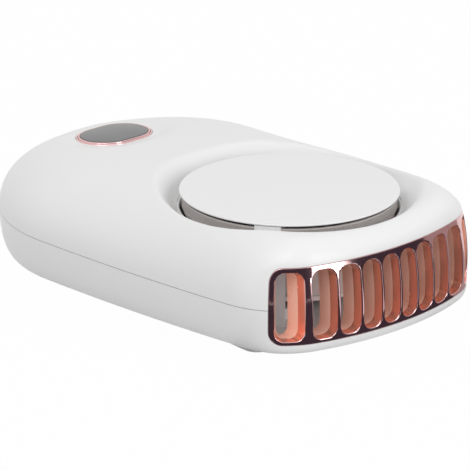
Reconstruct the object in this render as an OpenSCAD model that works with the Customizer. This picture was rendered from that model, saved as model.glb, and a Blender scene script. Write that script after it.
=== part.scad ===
// Pocket blower fan with a neck lanyard bar, a belt clip and a slotted outlet at its front end.
// It lies on its clip: X is its width, Y runs from the outlet to the button end, Z is up.
// The origin is under the middle of the fan, on the surface that the clip rests on.

/* [Body] */
// Length of the body from the outlet to the button end
body_len = 123; // [119:0.5:130]
// Plan radius of the round button end
rear_r = 40.2; // [39:0.2:42]
// Plan radius of the long, almost straight sides
side_r = 575; // [400:5:900]
// Plan radius of the bowed outlet end
front_r = 77.5; // [70:0.5:90]
// Plan radius of the outlet corners
corner_r = 19; // [18:0.2:21]
// Distance of the corner centres from the middle line
corner_x = 17.8; // [16.5:0.1:18.5]
// Height of the body from its back to the shoulder of its face
body_h = 26.5; // [25.5:0.25:28]
// Rise of the face in the middle above the shoulder
crown_h = 1.75; // [1:0.25:2.5]
// Height of the seam between the two shells above the back
seam_h = 10.7; // [9.5:0.1:12]
// Wall thickness of the shells
wall = 1.8; // [1.5:0.1:2]

/* [Body rounding] */
// Inset over which the face rounds off into the sides
round_side = 28; // [24:0.5:32]
// Inset over which the face rounds off at the button end
round_rear = 20.7; // [18:0.5:26]
// Inset over which the face rounds off above the outlet
round_front = 5.7; // [4.5:0.1:7]
// Inset of the back's rounded edge along the sides
under_side = 3; // [2:0.25:4.5]
// Inset of the back's rounded edge at the button end
under_rear = 5; // [3.5:0.25:6.5]
// Drop of the face at the button end
rear_droop = 4.3; // [2.5:0.1:5]

/* [Air intake] */
// Distance of the intake's centre from the outlet end
intake_y = 37.7; // [36.5:0.1:39]
// Height of the cover's rim above the back
rim_h = 25.9; // [25:0.1:27]
// Radius of the round cover
cover_r = 26.5; // [25:0.1:27]
// Thickness of the cover at its rim
cover_t = 1.3; // [1:0.1:1.6]
// Radius of the intake hole under the cover
hole_r = 27.4; // [27.2:0.1:28]
// Depth of the land around the hole below the cover's rim
land_drop = 2.6; // [2.2:0.1:3]
// Rise of the dished recess around the hole
dish_rise = 5.2; // [4.5:0.1:6]
// Width of the cover's legs
leg_w = 6.2; // [5:0.1:8]

/* [Outlet grille] */
// Height of the grille
grille_h = 18.3; // [17:0.1:19]
// Height of the grille's lower edge above the back
grille_low = 2.35; // [2.2:0.05:3]
// Depth of the slots
grille_depth = 8; // [6:0.25:9]
// Angle that each half of the grille turns through
grille_turn = 55.3; // [50:0.1:60]
// Bulge of the grille's face at mid height
bulge = 1.7; // [1:0.1:2.2]
// Thickness of the bars between the slots
bar_t = 0.9; // [0.7:0.05:1.2]
// Thickness of the two outermost bars
end_bar_t = 1.9; // [1.5:0.05:2.3]

/* [Button] */
// Distance of the button's centre from the body's rear end
button_y = 22.6; // [21.3:0.1:24.3]
// Half length of the pill-shaped key
key_half_len = 9.1; // [8:0.1:10]
// Half width of the pill-shaped key
key_half_w = 6.85; // [6:0.05:7.2]
// Width of the bright ring around the key
ring_w = 0.95; // [0.7:0.05:1.3]
// Travel of the key
key_travel = 0.5; // [0.3:0.05:0.6]

/* [Fan and motor] */
// Outer radius of the fan wheel
wheel_r = 25.2; // [24:0.1:25.6]
// Number of blades on the fan wheel
blade_n = 28; // [20:1:32]
// Radius of the motor shaft
shaft_r = 1; // [0.75:0.05:1.25]
// Outer radius of the rotor cup
cup_r = 11; // [10:0.1:11.5]

/* [Battery and board] */
// Width of the battery
cell_w = 50; // [46:1:52]
// Gap between the battery's end and the screw bosses behind it
cell_end_gap = 2.45; // [2:0.05:5]
// Thickness of the battery
cell_t = 9.4; // [8.5:0.1:9.5]
// Thickness of the circuit board
board_t = 1; // [0.8:0.1:1.2]

/* [Belt clip] */
// Width of the clip at its pressed end
clip_w = 47.6; // [40:0.2:52]
// Width of the clip at its ridge end
clip_end_w = 40; // [34:0.5:46]
// Length of the clip
clip_l = 60; // [50:1:66]
// Thickness of the clip's plate
clip_t = 2.2; // [1.8:0.1:2.6]
// Gap for a belt between the clip and the back
clip_gap = 4.6; // [4.4:0.1:6]
// Distance of the clip's pressed end from the outlet end
clip_y = 24.2; // [20:0.2:26]

/* [Hidden] */

// Faces of round parts, and of the small ones
$fn = 96;
fn_small = 32;
// Overrun of cuts, and the smallest radius an inset outline keeps
over = 1;
least_r = 0.2;
// Clearance between moulded parts, of running shafts and of pressed ones
fit_gap = 0.1;
run_gap = 0.05;
press_gap = 0.02;
// Gap between pieces that only lie near each other
near_gap = 0.3;

// Heights of the body in the fan's own frame
back_z = clip_t + clip_gap;
seam_z = back_z + seam_h;
face_z = back_z + body_h;
rim_z = back_z + rim_h;
land_z = rim_z - land_drop;
floor_z = back_z + wall;
grille_z0 = back_z + grille_low;
grille_z1 = grille_z0 + grille_h;
grille_mid = (grille_z0 + grille_z1) / 2;

// Centres of the arcs of the plan outline, which are tangent to each other
front_y = -body_len / 2;
disc_y = front_y + intake_y;
front_cy = front_y + front_r;
turn_c = asin(corner_x / (front_r - corner_r));
corner_cy = front_cy - (front_r - corner_r) * cos(turn_c);
rear_cy = body_len / 2 - rear_r;
link = norm([corner_x, rear_cy - corner_cy]);
link_a = atan2(corner_cy - rear_cy, corner_x);
side_in = side_r - rear_r;
side_out = side_r - corner_r;
side_cos = (side_in * side_in + link * link - side_out * side_out) / (2 * side_in * link);
side_a = link_a - acos(side_cos);
side_c = [side_in * cos(side_a), rear_cy + side_in * sin(side_a)];
side_a0 = atan2(corner_cy - side_c[1], corner_x - side_c[0]);
side_a1 = atan2(rear_cy - side_c[1], -side_c[0]);

// Turn away from the outlet over which the section changes from its front form to its side form
side_from_a = 35;
side_to_a = 75;
// Stations around the outline, each an arc's centre, radius and the angle of its outward normal
front_n = 4;
corner_n = 9;
side_n = 4;
rear_n = 13;
half_stations = concat(
  [for (k = [0:front_n]) [0, front_cy, front_r, -90 + turn_c * k / front_n]],
  [for (k = [1:corner_n]) [corner_x, corner_cy, corner_r, mix(turn_c - 90, side_a0, k / corner_n)]],
  [for (k = [1:side_n]) [side_c[0], side_c[1], side_r, mix(side_a0, side_a1, k / side_n)]],
  [for (k = [1:rear_n]) [0, rear_cy, rear_r, mix(side_a1, 90, k / rear_n)]]);
stations = [for (s = concat(half_stations,
    [for (k = [len(half_stations) - 2:-1:1]) mirrored(half_stations[k])]))
  [s[0], s[1], s[2], cos(s[3]), sin(s[3]), side_share(s[3]), rear_share(s[3])]];

function mix(a, b, t) = a + (b - a) * t;
function smooth(t) = t <= 0 ? 0 : t >= 1 ? 1 : t * t * (3 - 2 * t);
function ease(t) = (1 - cos(180 * t)) / 2;
function mirrored(s) = [-s[0], s[1], s[2], 180 - s[3]];
// Angle of a normal away from the outlet's direction
function turn_of(a) = a > 90 ? 270 - a : a + 90;
// How far a station belongs to the sides, and how far to the button end
function side_share(a) = smooth((turn_of(a) - side_from_a) / (side_to_a - side_from_a));
function rear_share(a) = smooth((turn_of(a) - 90) / 80);

// Point of the outline at a station, moved inwards by an inset
function plan(s, inset) =
  let (r = max(s[2] - inset, least_r)) [s[0] + r * s[3], s[1] + r * s[4]];
// Distance of a plan point from the outline
function edge_dist(p) =
  min([for (s = stations) (s[0] - p[0]) * s[3] + (s[1] - p[1]) * s[4] + s[2]]);

// Height share of a rounded edge at a share of its inset
function rise(x, power) = x >= 1 ? 1 : pow(1 - pow(1 - max(x, 0), power), 1 / power);
side_power = 2.15;
rear_power = 2.6;
front_power = 1.8;
under_power = 2.4;

// Face of the body: its crowned top line, and the dished recess around the intake
droop_from = 7.8;
droop_end = 15.5;
droop_run = body_len - intake_y - droop_from - droop_end;
function droop(y) = rear_droop * pow(max(0, (y - disc_y - droop_from) / droop_run), 2);
function top_line(y) = face_z + crown_h - droop(y);
land_w = 1;
land_r = hole_r + land_w;
dish_run = 3.8;
dish_slope_share = 0.12;
dish_blend = 0.45;
function dish(r) = land_z + dish_rise * (1 - exp((land_r - r) / dish_run))
  + dish_slope_share * (r - land_r);
function soft_min(a, b, k) = min(a, b) - k * ln(1 + exp(-abs(a - b) / k));

// Inset of the bulged grille face at a height
bulge_r = (pow(grille_h / 2, 2) + bulge * bulge) / (2 * bulge);
function bulge_at(z) =
  bulge_r - sqrt(max(0, bulge_r * bulge_r - pow(z - grille_mid, 2)));

// Skin of the top shell at a station, step k of n, moved inwards by off
function front_skin(s, k, n, wall_n, off, z_from) =
  k <= wall_n
    ? let (z = mix(z_from, grille_z1, k / wall_n), p = plan(s, off + bulge_at(z))) [p[0], p[1], z]
    : let (
        p = mix(plan(s, off + bulge_at(grille_z1)), land_point(s), ease((k - wall_n) / (n - wall_n))),
        d = edge_dist(p) - off - bulge_at(grille_z1),
        z = mix(grille_z1, face_z - off, rise(d / round_front, front_power)))
      [p[0], p[1], z];
function side_skin(s, k, n, off, z_from) =
  let (
    p = mix(plan(s, off), land_point(s), ease(k / n)),
    d = edge_dist(p) - off,
    run = mix(round_side, round_rear, s[6]),
    power = mix(side_power, rear_power, s[6]))
  [p[0], p[1], mix(z_from, top_line(p[1]) - off, rise(d / run, power))];
function land_point(s) =
  let (p = plan(s, 0), d = p - [0, disc_y]) [0, disc_y] + land_r * d / norm(d);
function top_skin(s, k, n, wall_n, off, z_from) =
  let (
    q = mix(front_skin(s, k, n, wall_n, off, z_from), side_skin(s, k, n, off, z_from), s[5]),
    r = norm([q[0], q[1] - disc_y]))
  [q[0], q[1], k == 0 ? z_from : k == n ? land_z - off : soft_min(q[2], dish(r) - off, dish_blend)];

// Skin of the bottom shell at a station, from the back's edge (k = 0) up to the seam (k = n)
function under_skin(s, k, n, wall_n, off, z_to) =
  let (
    t = 1 - k / n,
    low = back_z + off,
    run = mix(mix(under_front, under_side, s[5]), under_rear, s[6] * s[5]),
    side = [off + run * (1 - pow(cos(90 * t), 2 / under_power)),
      mix(z_to, low, pow(sin(90 * t), 2 / under_power))],
    turned = (n - wall_n - k) / (n - wall_n),
    z = mix(grille_z0, z_to, (k - n + wall_n) / wall_n),
    front = k >= n - wall_n
      ? [off + bulge_at(z), z]
      : [off + bulge_at(grille_z0) + under_front * (1 - pow(cos(90 * turned), 2 / under_power)),
        mix(grille_z0, low, pow(sin(90 * turned), 2 / under_power))],
    q = mix(front, side, s[5]),
    p = plan(s, q[0]))
  [p[0], p[1], q[1]];
under_front = 1.2;

// Closed mesh from one row of points per station; rows close on themselves or end in flat caps
module mesh(rows, ring) {
  n = len(rows);
  m = len(rows[0]);
  last = ring ? m - 1 : m - 2;
  function at(i, j) = (i % n) * m + j % m;
  quads = [for (i = [0:n - 1]) for (j = [0:last])
    each [[at(i, j), at(i, j + 1), at(i + 1, j + 1)], [at(i, j), at(i + 1, j + 1), at(i + 1, j)]]];
  caps = ring ? [] : [[for (i = [0:n - 1]) at(i, 0)], [for (i = [n - 1:-1:0]) at(i, m - 1)]];
  polyhedron([for (row = rows) each row], concat(quads, caps), convexity = 8);
}

// Rounded rectangle in the unrolled outlet face, from lower left to upper right
function face_ring(u0, u1, z0, z1, r, step) =
  let (
    nu = max(1, ceil((u1 - u0 - 2 * r) / step)),
    nz = max(1, ceil((z1 - z0 - 2 * r) / step)),
    quarter = [for (k = [0:ring_corner_n]) 90 * k / ring_corner_n])
  concat(
    [for (a = quarter) [u1 - r + r * sin(a), z0 + r - r * cos(a)]],
    [for (k = [1:nz - 1]) [u1, mix(z0 + r, z1 - r, k / nz)]],
    [for (a = quarter) [u1 - r + r * cos(a), z1 - r + r * sin(a)]],
    [for (k = [1:nu - 1]) [mix(u1 - r, u0 + r, k / nu), z1]],
    [for (a = quarter) [u0 + r - r * sin(a), z1 - r + r * cos(a)]],
    [for (k = [1:nz - 1]) [u0, mix(z1 - r, z0 + r, k / nz)]],
    [for (a = quarter) [u0 + r - r * cos(a), z0 + r - r * sin(a)]],
    [for (k = [1:nu - 1]) [mix(u0 + r, u1 - r, k / nu), z0]]);
ring_corner_n = 6;
// Solid point of an unrolled place: u along the outlet's face, z up, inset inwards
u_front = front_r * turn_c * PI / 180;
u_end = u_front + corner_r * (grille_turn - turn_c) * PI / 180;
function face_point(u, z, inset) =
  let (
    side = u < 0 ? -1 : 1,
    v = abs(u),
    flat = v <= u_front,
    a = flat ? v / front_r * 180 / PI : turn_c + (v - u_front) / corner_r * 180 / PI,
    r = (flat ? front_r : corner_r) - inset - bulge_at(z))
  [side * ((flat ? 0 : corner_x) + r * sin(a)), (flat ? front_cy : corner_cy) - r * cos(a), z];
// Block that follows the outlet's face through levels of [inset, growth]
module face_block(u0, u1, z0, z1, r, levels, step) {
  rings = [for (l = levels)
    [for (q = face_ring(u0 - l[1], u1 + l[1], z0 - l[1], z1 + l[1], r + l[1], step))
      face_point(q[0], q[1], l[0])]];
  n = len(rings[0]);
  m = len(rings);
  outer_c = face_point((u0 + u1) / 2, (z0 + z1) / 2, levels[0][0]);
  inner_c = face_point((u0 + u1) / 2, (z0 + z1) / 2, levels[m - 1][0]);
  sides = [for (j = [0:m - 2]) for (i = [0:n - 1]) let (k = (i + 1) % n)
    each [[j * n + i, (j + 1) * n + k, (j + 1) * n + i], [j * n + i, j * n + k, (j + 1) * n + k]]];
  caps = [for (i = [0:n - 1]) let (k = (i + 1) % n)
    each [[m * n, k, i], [m * n + 1, (m - 1) * n + i, (m - 1) * n + k]]];
  polyhedron(concat([for (ring = rings) each ring], [outer_c, inner_c]), concat(sides, caps),
    convexity = 8);
}

// Block like it with gridded faces, for one that is wide enough to turn round the corners
module face_slab(u0, u1, z0, z1, r, in0, in1, nu, nz) {
  turned = [for (k = [0:ring_corner_n]) r * (1 - cos(90 * k / ring_corner_n))];
  us = concat([for (d = turned) u0 + d], [for (k = [1:nu - 1]) mix(u0 + r, u1 - r, k / nu)],
    [for (k = [ring_corner_n:-1:0]) u1 - turned[k]]);
  function low(u) = let (d = min(u - u0, u1 - u)) d >= r ? 0 : r - sqrt(r * r - (r - d) * (r - d));
  n = len(us);
  m = nz + 1;
  function at(l, i, j) = (l * n + i) * m + j;
  function quad(a, b, c, d) = [[a, b, c], [a, c, d]];
  caps = [for (i = [0:n - 2]) for (j = [0:nz - 1]) each concat(
    quad(at(0, i, j), at(0, i, j + 1), at(0, i + 1, j + 1), at(0, i + 1, j)),
    quad(at(1, i, j), at(1, i + 1, j), at(1, i + 1, j + 1), at(1, i, j + 1)))];
  long_sides = [for (i = [0:n - 2]) each concat(
    quad(at(0, i, 0), at(0, i + 1, 0), at(1, i + 1, 0), at(1, i, 0)),
    quad(at(0, i, nz), at(1, i, nz), at(1, i + 1, nz), at(0, i + 1, nz)))];
  ends = [for (j = [0:nz - 1]) each concat(
    quad(at(0, 0, j), at(1, 0, j), at(1, 0, j + 1), at(0, 0, j + 1)),
    quad(at(0, n - 1, j), at(0, n - 1, j + 1), at(1, n - 1, j + 1), at(1, n - 1, j)))];
  polyhedron([for (inset = [in0, in1]) for (u = us) for (j = [0:nz])
    face_point(u, mix(z0 + low(u), z1 - low(u), j / nz), inset)],
    concat(caps, long_sides, ends), convexity = 8);
}

// Hand-chosen route with its corners rounded, and a tube swept along a list of points
function rounded_route(pts, r) = concat([pts[0]],
  [for (i = [1:len(pts) - 2]) let (
      a = pts[i] + r * unit(pts[i - 1] - pts[i]),
      b = pts[i] + r * unit(pts[i + 1] - pts[i]))
    for (t = [0, 0.33, 0.67, 1]) mix(mix(a, pts[i], t), mix(pts[i], b, t), t)],
  [pts[len(pts) - 1]]);
function unit(v) = v / norm(v);
function tangents(p) = [for (i = [0:len(p) - 1])
  unit(p[min(i + 1, len(p) - 1)] - p[max(i - 1, 0)])];
function carried(ts, i, u, out) =
  i == len(ts) ? out : let (w = unit(u - (u * ts[i]) * ts[i])) carried(ts, i + 1, w, concat(out, [w]));
module tube(points, r, n, start_u) {
  ts = tangents(points);
  us = carried(ts, 0, start_u, []);
  rows = [for (j = [0:n - 1]) [for (i = [0:len(points) - 1])
    points[i] + r * (cos(360 * j / n) * us[i] + sin(360 * j / n) * cross(ts[i], us[i]))]];
  mesh(rows, false);
}

// Pill outline, and a ring or block of a profile carried around a pill
module pill(half_len, half_w) {
  straight = half_len - half_w;
  square([2 * straight, 2 * half_w], center = true);
  for (side = [-1, 1]) translate([side * straight, 0]) circle(half_w);
}
module pill_sweep(half_len, half_w) {
  straight = half_len - half_w;
  for (side = [0, 180]) rotate([0, 0, side]) {
    translate([straight, 0, 0]) rotate([0, 0, -90]) rotate_extrude(angle = 180) children();
    translate([-straight, 0, 0]) rotate([90, 0, 90]) linear_extrude(2 * straight) children();
  }
}
module ring(r_out, r_in, h) {
  difference() {
    cylinder(r = r_out, h = h);
    translate([0, 0, -over]) cylinder(r = r_in, h = h + 2 * over);
  }
}
module at_disc(z) {
  translate([0, disc_y, z]) children();
}
// Block with round plan corners, centred on its middle
module round_block(w, l, r, h) {
  linear_extrude(h) {
    square([w - 2 * r, l], center = true);
    square([w, l - 2 * r], center = true);
    for (x = [-1, 1]) for (y = [-1, 1]) translate([x * (w / 2 - r), y * (l / 2 - r)]) circle(r);
  }
}

// Screw places shared by the two shells
case_boss_r = 2.3;
case_boss_wall = 1;
case_screw_r = 1;
case_screw_l = 10;
case_head_r = 1.9;
case_head_h = 1.3;
case_head_gap = 0.2;
case_seat_deep = 3;
case_join_h = 2.2;
case_seat_z = back_z + case_seat_deep;
case_join_z = case_seat_z + case_join_h;
case_foot_r = case_head_r + case_head_gap + case_boss_wall;
front_boss_back = 6.6;
rear_boss_in = 5.9;
rear_boss_a = 53.5;
front_boss = [corner_x + corner_r - wall - case_head_r - case_head_gap, corner_cy + front_boss_back];
rear_boss = [0, rear_cy] + (rear_r - rear_boss_in) * [cos(rear_boss_a), sin(rear_boss_a)];
case_places = [front_boss, rear_boss, [-front_boss[0], front_boss[1]], [-rear_boss[0], rear_boss[1]]];

// Seam: the bottom shell's tongue stands inside the top shell's rebate
seam_gap = 0.15;
tongue_h = 1.2;
tongue_in = wall / 2;
rebate_z = seam_z + tongue_h + seam_gap;

module top_blank(off, n, wall_n) {
  mesh([for (s = stations) [for (k = [0:n]) top_skin(s, k, n, wall_n, off, seam_z)]], false);
}
lip_r = hole_r - wall / 2;
module top_skin_ring() {
  n = 18;
  n_in = 9;
  rows = [for (s = stations) let (
      lip = (land_point(s) - [0, disc_y]) * lip_r / land_r + [0, disc_y],
      notch = plan(s, tongue_in - fit_gap))
    concat(
      [for (k = [0:n]) top_skin(s, k, n, 4, 0, seam_z + seam_gap)],
      [[lip[0], lip[1], land_z], [lip[0], lip[1], land_z - wall]],
      [for (k = [n_in:-1:0]) top_skin(s, k, n_in, 2, wall, rebate_z)],
      [[notch[0], notch[1], rebate_z], [notch[0], notch[1], seam_z + seam_gap]])];
  mesh(rows, true);
}
// Cut for the grille, through both shells
frame_corner_r = 3.3;
module outlet_cut() {
  face_slab(-u_end - fit_gap, u_end + fit_gap, grille_z0 - fit_gap, grille_z1 + fit_gap,
    frame_corner_r + fit_gap, -4 * over, grille_depth + over, 24, 4);
}

// Place and tilt of the button
button_cy = body_len / 2 - button_y;
button_z = top_line(button_cy);
button_tilt = 4;
module at_button() {
  translate([0, button_cy, button_z]) rotate([-button_tilt, 0, 0]) children();
}
ring_half_w = key_half_w + fit_gap + ring_w;
ring_half_len = key_half_len + fit_gap + ring_w;
ring_proud = 0.45;
ring_reach = 2;
ring_deep = wall + ring_reach;
ring_barb_w = 0.9;
ring_barb_h = 0.7;

module top_shell() {
  color("white") difference() {
    union() {
      top_skin_ring();
      intersection() {
        union() {
          for (p = case_places) translate([p[0], p[1], case_join_z])
            cylinder(r = case_boss_r, h = body_h, $fn = fn_small);
        }
        top_boss_room();
      }
    }
    outlet_cut();
    at_disc(land_z - wall - over) cylinder(r = hole_r, h = wall + 2 * over);
    at_button() translate([0, 0, -2 * ring_deep])
      linear_extrude(3 * ring_deep) pill(ring_half_len + fit_gap, ring_half_w + fit_gap);
    for (p = case_places) translate([p[0], p[1], case_join_z - over])
      cylinder(r = case_screw_r + press_gap, h = case_screw_l - case_join_h + 2 * over, $fn = fn_small);
  }
}
// Room inside the top shell's outer skin, carried down past the seam for the screw bosses
module top_boss_room() {
  top_blank(wall / 2, 10, 2);
  translate([0, 0, case_join_z]) linear_extrude(seam_z - case_join_z + wall)
    polygon([for (s = stations) plan(s, wall + near_gap)]);
}

// Blower housing wall: it opens from a tongue beside the outlet round the back of the wheel
scroll_t = 1.2;
scroll_gap = 2.4;
scroll_r0 = wheel_r + scroll_gap;
scroll_grow = 2.7;
scroll_a0 = 224;
scroll_a1 = -38;
scroll_n = 40;
scroll_far = scroll_r0 + scroll_grow + scroll_t;
hook_drop = 0.9;
scroll_z1 = land_z - wall - hook_drop - near_gap;
root = wall / 4;
function scroll_point(t, out) =
  let (a = mix(scroll_a0, scroll_a1, t), r = scroll_r0 + scroll_grow * t + out)
  [r * cos(a), disc_y + r * sin(a)];
module scroll_wall() {
  translate([0, 0, floor_z - root]) linear_extrude(scroll_z1 - floor_z + root)
    polygon(concat([for (k = [0:scroll_n]) scroll_point(k / scroll_n, 0)],
      [for (k = [scroll_n:-1:0]) scroll_point(k / scroll_n, scroll_t)]));
}

// Lanyard bars: a pocket in the back's outlet corners with a bar across it
lanyard_w = 6;
lanyard_l = 5;
lanyard_deep = 3.4;
lanyard_bar_r = 0.9;
lanyard_corner_r = 1;
lanyard_from = [3, 2.5];
lanyard_at = [corner_x, corner_cy] + lanyard_from;

// Hinge of the belt clip, under the back
clip_y0 = front_y + clip_y;
hinge_from = 13.3;
hinge_y = clip_y0 + hinge_from;
pin_r = 1;
knuckle_r = 1.9;
ear_w = 3;
knuckle_w = 3.6;
knuckle_x = 6.1;
ear_x = knuckle_x + knuckle_w / 2 + near_gap + ear_w / 2;
hinge_z = clip_t + near_gap + knuckle_r;

// Charging socket in the button end, on the underside of the board at the seam
socket_w = 8.9;
socket_h = 3.2;
socket_l = 7.3;
socket_wall = 0.35;
socket_gap = 0.25;
tongue_share = 0.72;
board_edge_gap = 0.9;
board_z = seam_z + socket_h / 2;
board_top = board_z + board_t;
board_w = 30;
board_l = 24;
board_y1 = body_len / 2 - wall - near_gap;

// Battery bay and board posts
bay_gap = 1.6;
cell_y0 = disc_y + scroll_far + bay_gap;
cell_y1 = rear_boss[1] - case_foot_r - cell_end_gap;
cell_l = cell_y1 - cell_y0;
cell_cy = (cell_y0 + cell_y1) / 2;
pad_t = 0.5;
cell_z = floor_z + pad_t;
post_r = 2.1;
post_in = 3.5;
post_back = 10.9;
post_at = [board_w / 2 - post_in, board_y1 - post_back];
board_screw_r = 0.8;
board_screw_deep = 4.5;
board_head_r = 1.5;
board_head_h = 1;
rib_t = 1.2;
rib_h = 5;
side_rib_share = 0.6;
end_rib_share = 0.3;

// Motor seat: three bosses under the motor base
base_r = 13;
base_t = 1.2;
base_screw_r = 0.9;
base_screw_at = 11;
base_screw_deep = 1.7;
base_boss_wall = 1.1;
base_lift = 1.2;
base_z = floor_z + base_lift;
motor_z = base_z + base_t;
module at_base_screws(z) {
  for (k = [0:2]) at_disc(z) rotate([0, 0, 90 + 120 * k]) translate([base_screw_at, 0, 0]) children();
}
module at_posts(z) {
  for (x = [-1, 1]) translate([x * post_at[0], post_at[1], z]) children();
}

module bottom_shell() {
  n = 11;
  n_in = 8;
  rows = [for (s = stations) let (notch = plan(s, tongue_in), tip = plan(s, wall))
    concat(
      [for (k = [0:n]) under_skin(s, k, n, 3, 0, seam_z)],
      [[notch[0], notch[1], seam_z], [notch[0], notch[1], seam_z + tongue_h],
        [tip[0], tip[1], seam_z + tongue_h]],
      [for (k = [n_in:-1:0]) under_skin(s, k, n_in, 3, wall, seam_z)])];
  color("white") difference() {
    union() {
      mesh(rows, false);
      scroll_wall();
      for (p = case_places) translate([p[0], p[1], floor_z - root])
        cylinder(r = case_foot_r, h = case_join_z - floor_z + root, $fn = fn_small);
      at_posts(floor_z - root) cylinder(r = post_r, h = board_z - floor_z + root, $fn = fn_small);
      at_base_screws(floor_z - root)
        cylinder(r = base_screw_r + base_boss_wall, h = base_lift + root, $fn = fn_small);
      for (x = [-1, 1]) {
        translate([x * lanyard_at[0], lanyard_at[1], floor_z - root])
          round_block(lanyard_w + 2 * rib_t, lanyard_l + 2 * rib_t, rib_t,
            lanyard_deep - wall + rib_t + root, $fn = fn_small);
        translate([x * (cell_w / 2 + near_gap + rib_t / 2), cell_cy, floor_z + (rib_h - root) / 2])
          cube([rib_t, cell_l * side_rib_share, rib_h + root], center = true);
        hinge_ear(x * ear_x);
      }
      translate([0, cell_y1 + near_gap + rib_t / 2, floor_z + (rib_h - root) / 2])
        cube([cell_w * end_rib_share, rib_t, rib_h + root], center = true);
    }
    outlet_cut();
    for (p = case_places) translate([p[0], p[1], back_z - over]) {
      cylinder(r = case_head_r + case_head_gap, h = case_seat_deep + over, $fn = fn_small);
      cylinder(r = case_screw_r + fit_gap, h = seam_h + over, $fn = fn_small);
    }
    at_posts(board_z - board_screw_deep - near_gap)
      cylinder(r = board_screw_r + press_gap, h = board_screw_deep + near_gap + over, $fn = fn_small);
    at_base_screws(base_z - base_screw_deep - near_gap)
      cylinder(r = base_screw_r + press_gap, h = base_screw_deep + near_gap + over, $fn = fn_small);
    for (x = [-1, 1]) translate([x * lanyard_at[0], lanyard_at[1], back_z - over]) difference() {
      round_block(lanyard_w, lanyard_l, lanyard_corner_r, lanyard_deep + over, $fn = fn_small);
      translate([0, 0, over + lanyard_bar_r]) rotate([0, 90, 0])
        cylinder(r = lanyard_bar_r, h = lanyard_w + 2 * over, center = true, $fn = fn_small);
    }
    socket_mouth();
    wire_notch();
  }
}
module hinge_ear(x) {
  difference() {
    translate([x - ear_w / 2, 0, 0]) {
      translate([0, hinge_y, hinge_z]) rotate([0, 90, 0])
        cylinder(r = knuckle_r, h = ear_w, $fn = fn_small);
      translate([0, hinge_y - knuckle_r, hinge_z]) cube([ear_w, 2 * knuckle_r, back_z - hinge_z + root]);
    }
    translate([x, hinge_y, hinge_z]) rotate([0, 90, 0])
      cylinder(r = pin_r + press_gap, h = ear_w + 2 * over, center = true, $fn = fn_small);
  }
}
module socket_mouth() {
  translate([0, body_len / 2 + over, seam_z]) rotate([90, 0, 0])
    linear_extrude(wall + 2 * over)
      pill(socket_w / 2 + socket_gap, socket_h / 2 + socket_gap);
}
// Notch at the foot of the blower wall, where the motor's lead passes
notch_w = 3.4;
notch_h = 2.6;
lead_at = 5.2;
module wire_notch() {
  run = 2 * (scroll_grow + scroll_t);
  translate([lead_at - notch_w / 2, disc_y + scroll_far - run, floor_z]) cube([notch_w, run + over, notch_h]);
}

cover_dome = 0.5;
cover_rib_share = 0.55;
cover_rib_h = 1.6;
module intake_cover() {
  edge = cover_t / 2;
  rib_r = cover_r * cover_rib_share;
  color("white") at_disc(rim_z) {
    rotate_extrude() {
      polygon(concat([[0, -cover_t]],
        [for (a = [-90:15:90]) [cover_r - edge + edge * cos(a), -edge + edge * sin(a)]],
        [for (k = [1:5]) let (t = 1 - k / 5) [(cover_r - edge) * t, cover_dome * (1 - t * t)]]));
    }
    for (k = [0:2]) rotate([0, 0, 90 + 120 * k]) cover_leg();
    translate([0, 0, -cover_t - cover_rib_h + edge]) ring(rib_r, rib_r - rib_t, cover_rib_h);
  }
}
// Leg: an arm under the cover that sits on the land and hooks under the hole's lip
leg_from_share = 0.8;
leg_toe_h = 0.5;
hook_t = 1.1;
hook_barb = 0.5;
leg_t = land_drop - cover_t / 2 - least_r;
module cover_leg() {
  foot = -land_drop;
  top = -cover_t / 2;
  toe_r = land_r - fit_gap;
  hook_r = hole_r - fit_gap;
  low = foot - wall - hook_drop;
  intersection() {
    translate([0, -leg_w / 2, low - over]) cube([land_r + over, leg_w, over - low]);
    rotate_extrude() polygon([
      [cover_r * leg_from_share, top], [cover_r * leg_from_share, top - leg_t], [hook_r - hook_t, top - leg_t],
      [hook_r - hook_t, low], [hook_r + hook_barb, low], [hook_r + hook_barb, foot - wall - fit_gap],
      [hook_r, foot - wall - fit_gap], [hook_r, foot], [toe_r, foot], [toe_r, foot + leg_toe_h],
      [hook_r, foot + leg_toe_h], [cover_r, top]]);
  }
}

// Positions of the bars between the slots, as shares of the half face
bar_shares = [0, 0.161, 0.33, 0.514, 0.723, 1];
slot_top = 1.15;
slot_low = 0.85;
frame_end = 1.4;
slot_corner_r = 3.1;
slot_flare = 0.35;
slot_step = 4.5;
function bar_edge(k, side) = bar_shares[k] * u_end + side *
  (k == 5 ? frame_end : k == 4 ? end_bar_t / 2 : bar_t / 2);
module outlet_grille() {
  color([0.72, 0.45, 0.4]) difference() {
    face_slab(-u_end, u_end, grille_z0, grille_z1, frame_corner_r, 0, grille_depth, 22, 6);
    for (side = [-1, 1]) for (k = [0:4]) {
      a = bar_edge(k, 1);
      b = bar_edge(k + 1, -1);
      r = min((b - a - least_r) / 2, slot_corner_r);
      face_block(side > 0 ? a : -b, side > 0 ? b : -a, grille_z0 + slot_low, grille_z1 - slot_top, r,
        [[-2 * over, slot_flare], [0, slot_flare], [slot_flare, 0], [grille_depth + 2 * over, 0]],
        slot_step);
    }
  }
}

module button_ring() {
  r_in = ring_half_w - ring_w;
  color([0.85, 0.6, 0.55]) at_button() pill_sweep(ring_half_len, ring_half_w) {
    translate([r_in, -ring_deep]) square([ring_w, ring_deep + ring_proud - ring_w / 2]);
    translate([r_in + ring_w / 2, ring_proud - ring_w / 2]) circle(ring_w / 2, $fn = fn_small);
    translate([r_in, -ring_deep]) square([ring_w + ring_barb_w, ring_barb_h]);
  }
}
// Key: a pill-shaped cap whose flange lies under the ring, with a stem down to the plunger
key_top = 0.3;
key_dome = 0.25;
key_edge = 0.4;
key_flange_w = 0.55;
key_flange_h = 0.6;
key_low = ring_deep + near_gap + key_flange_h;
stem_r = 1.6;
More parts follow.
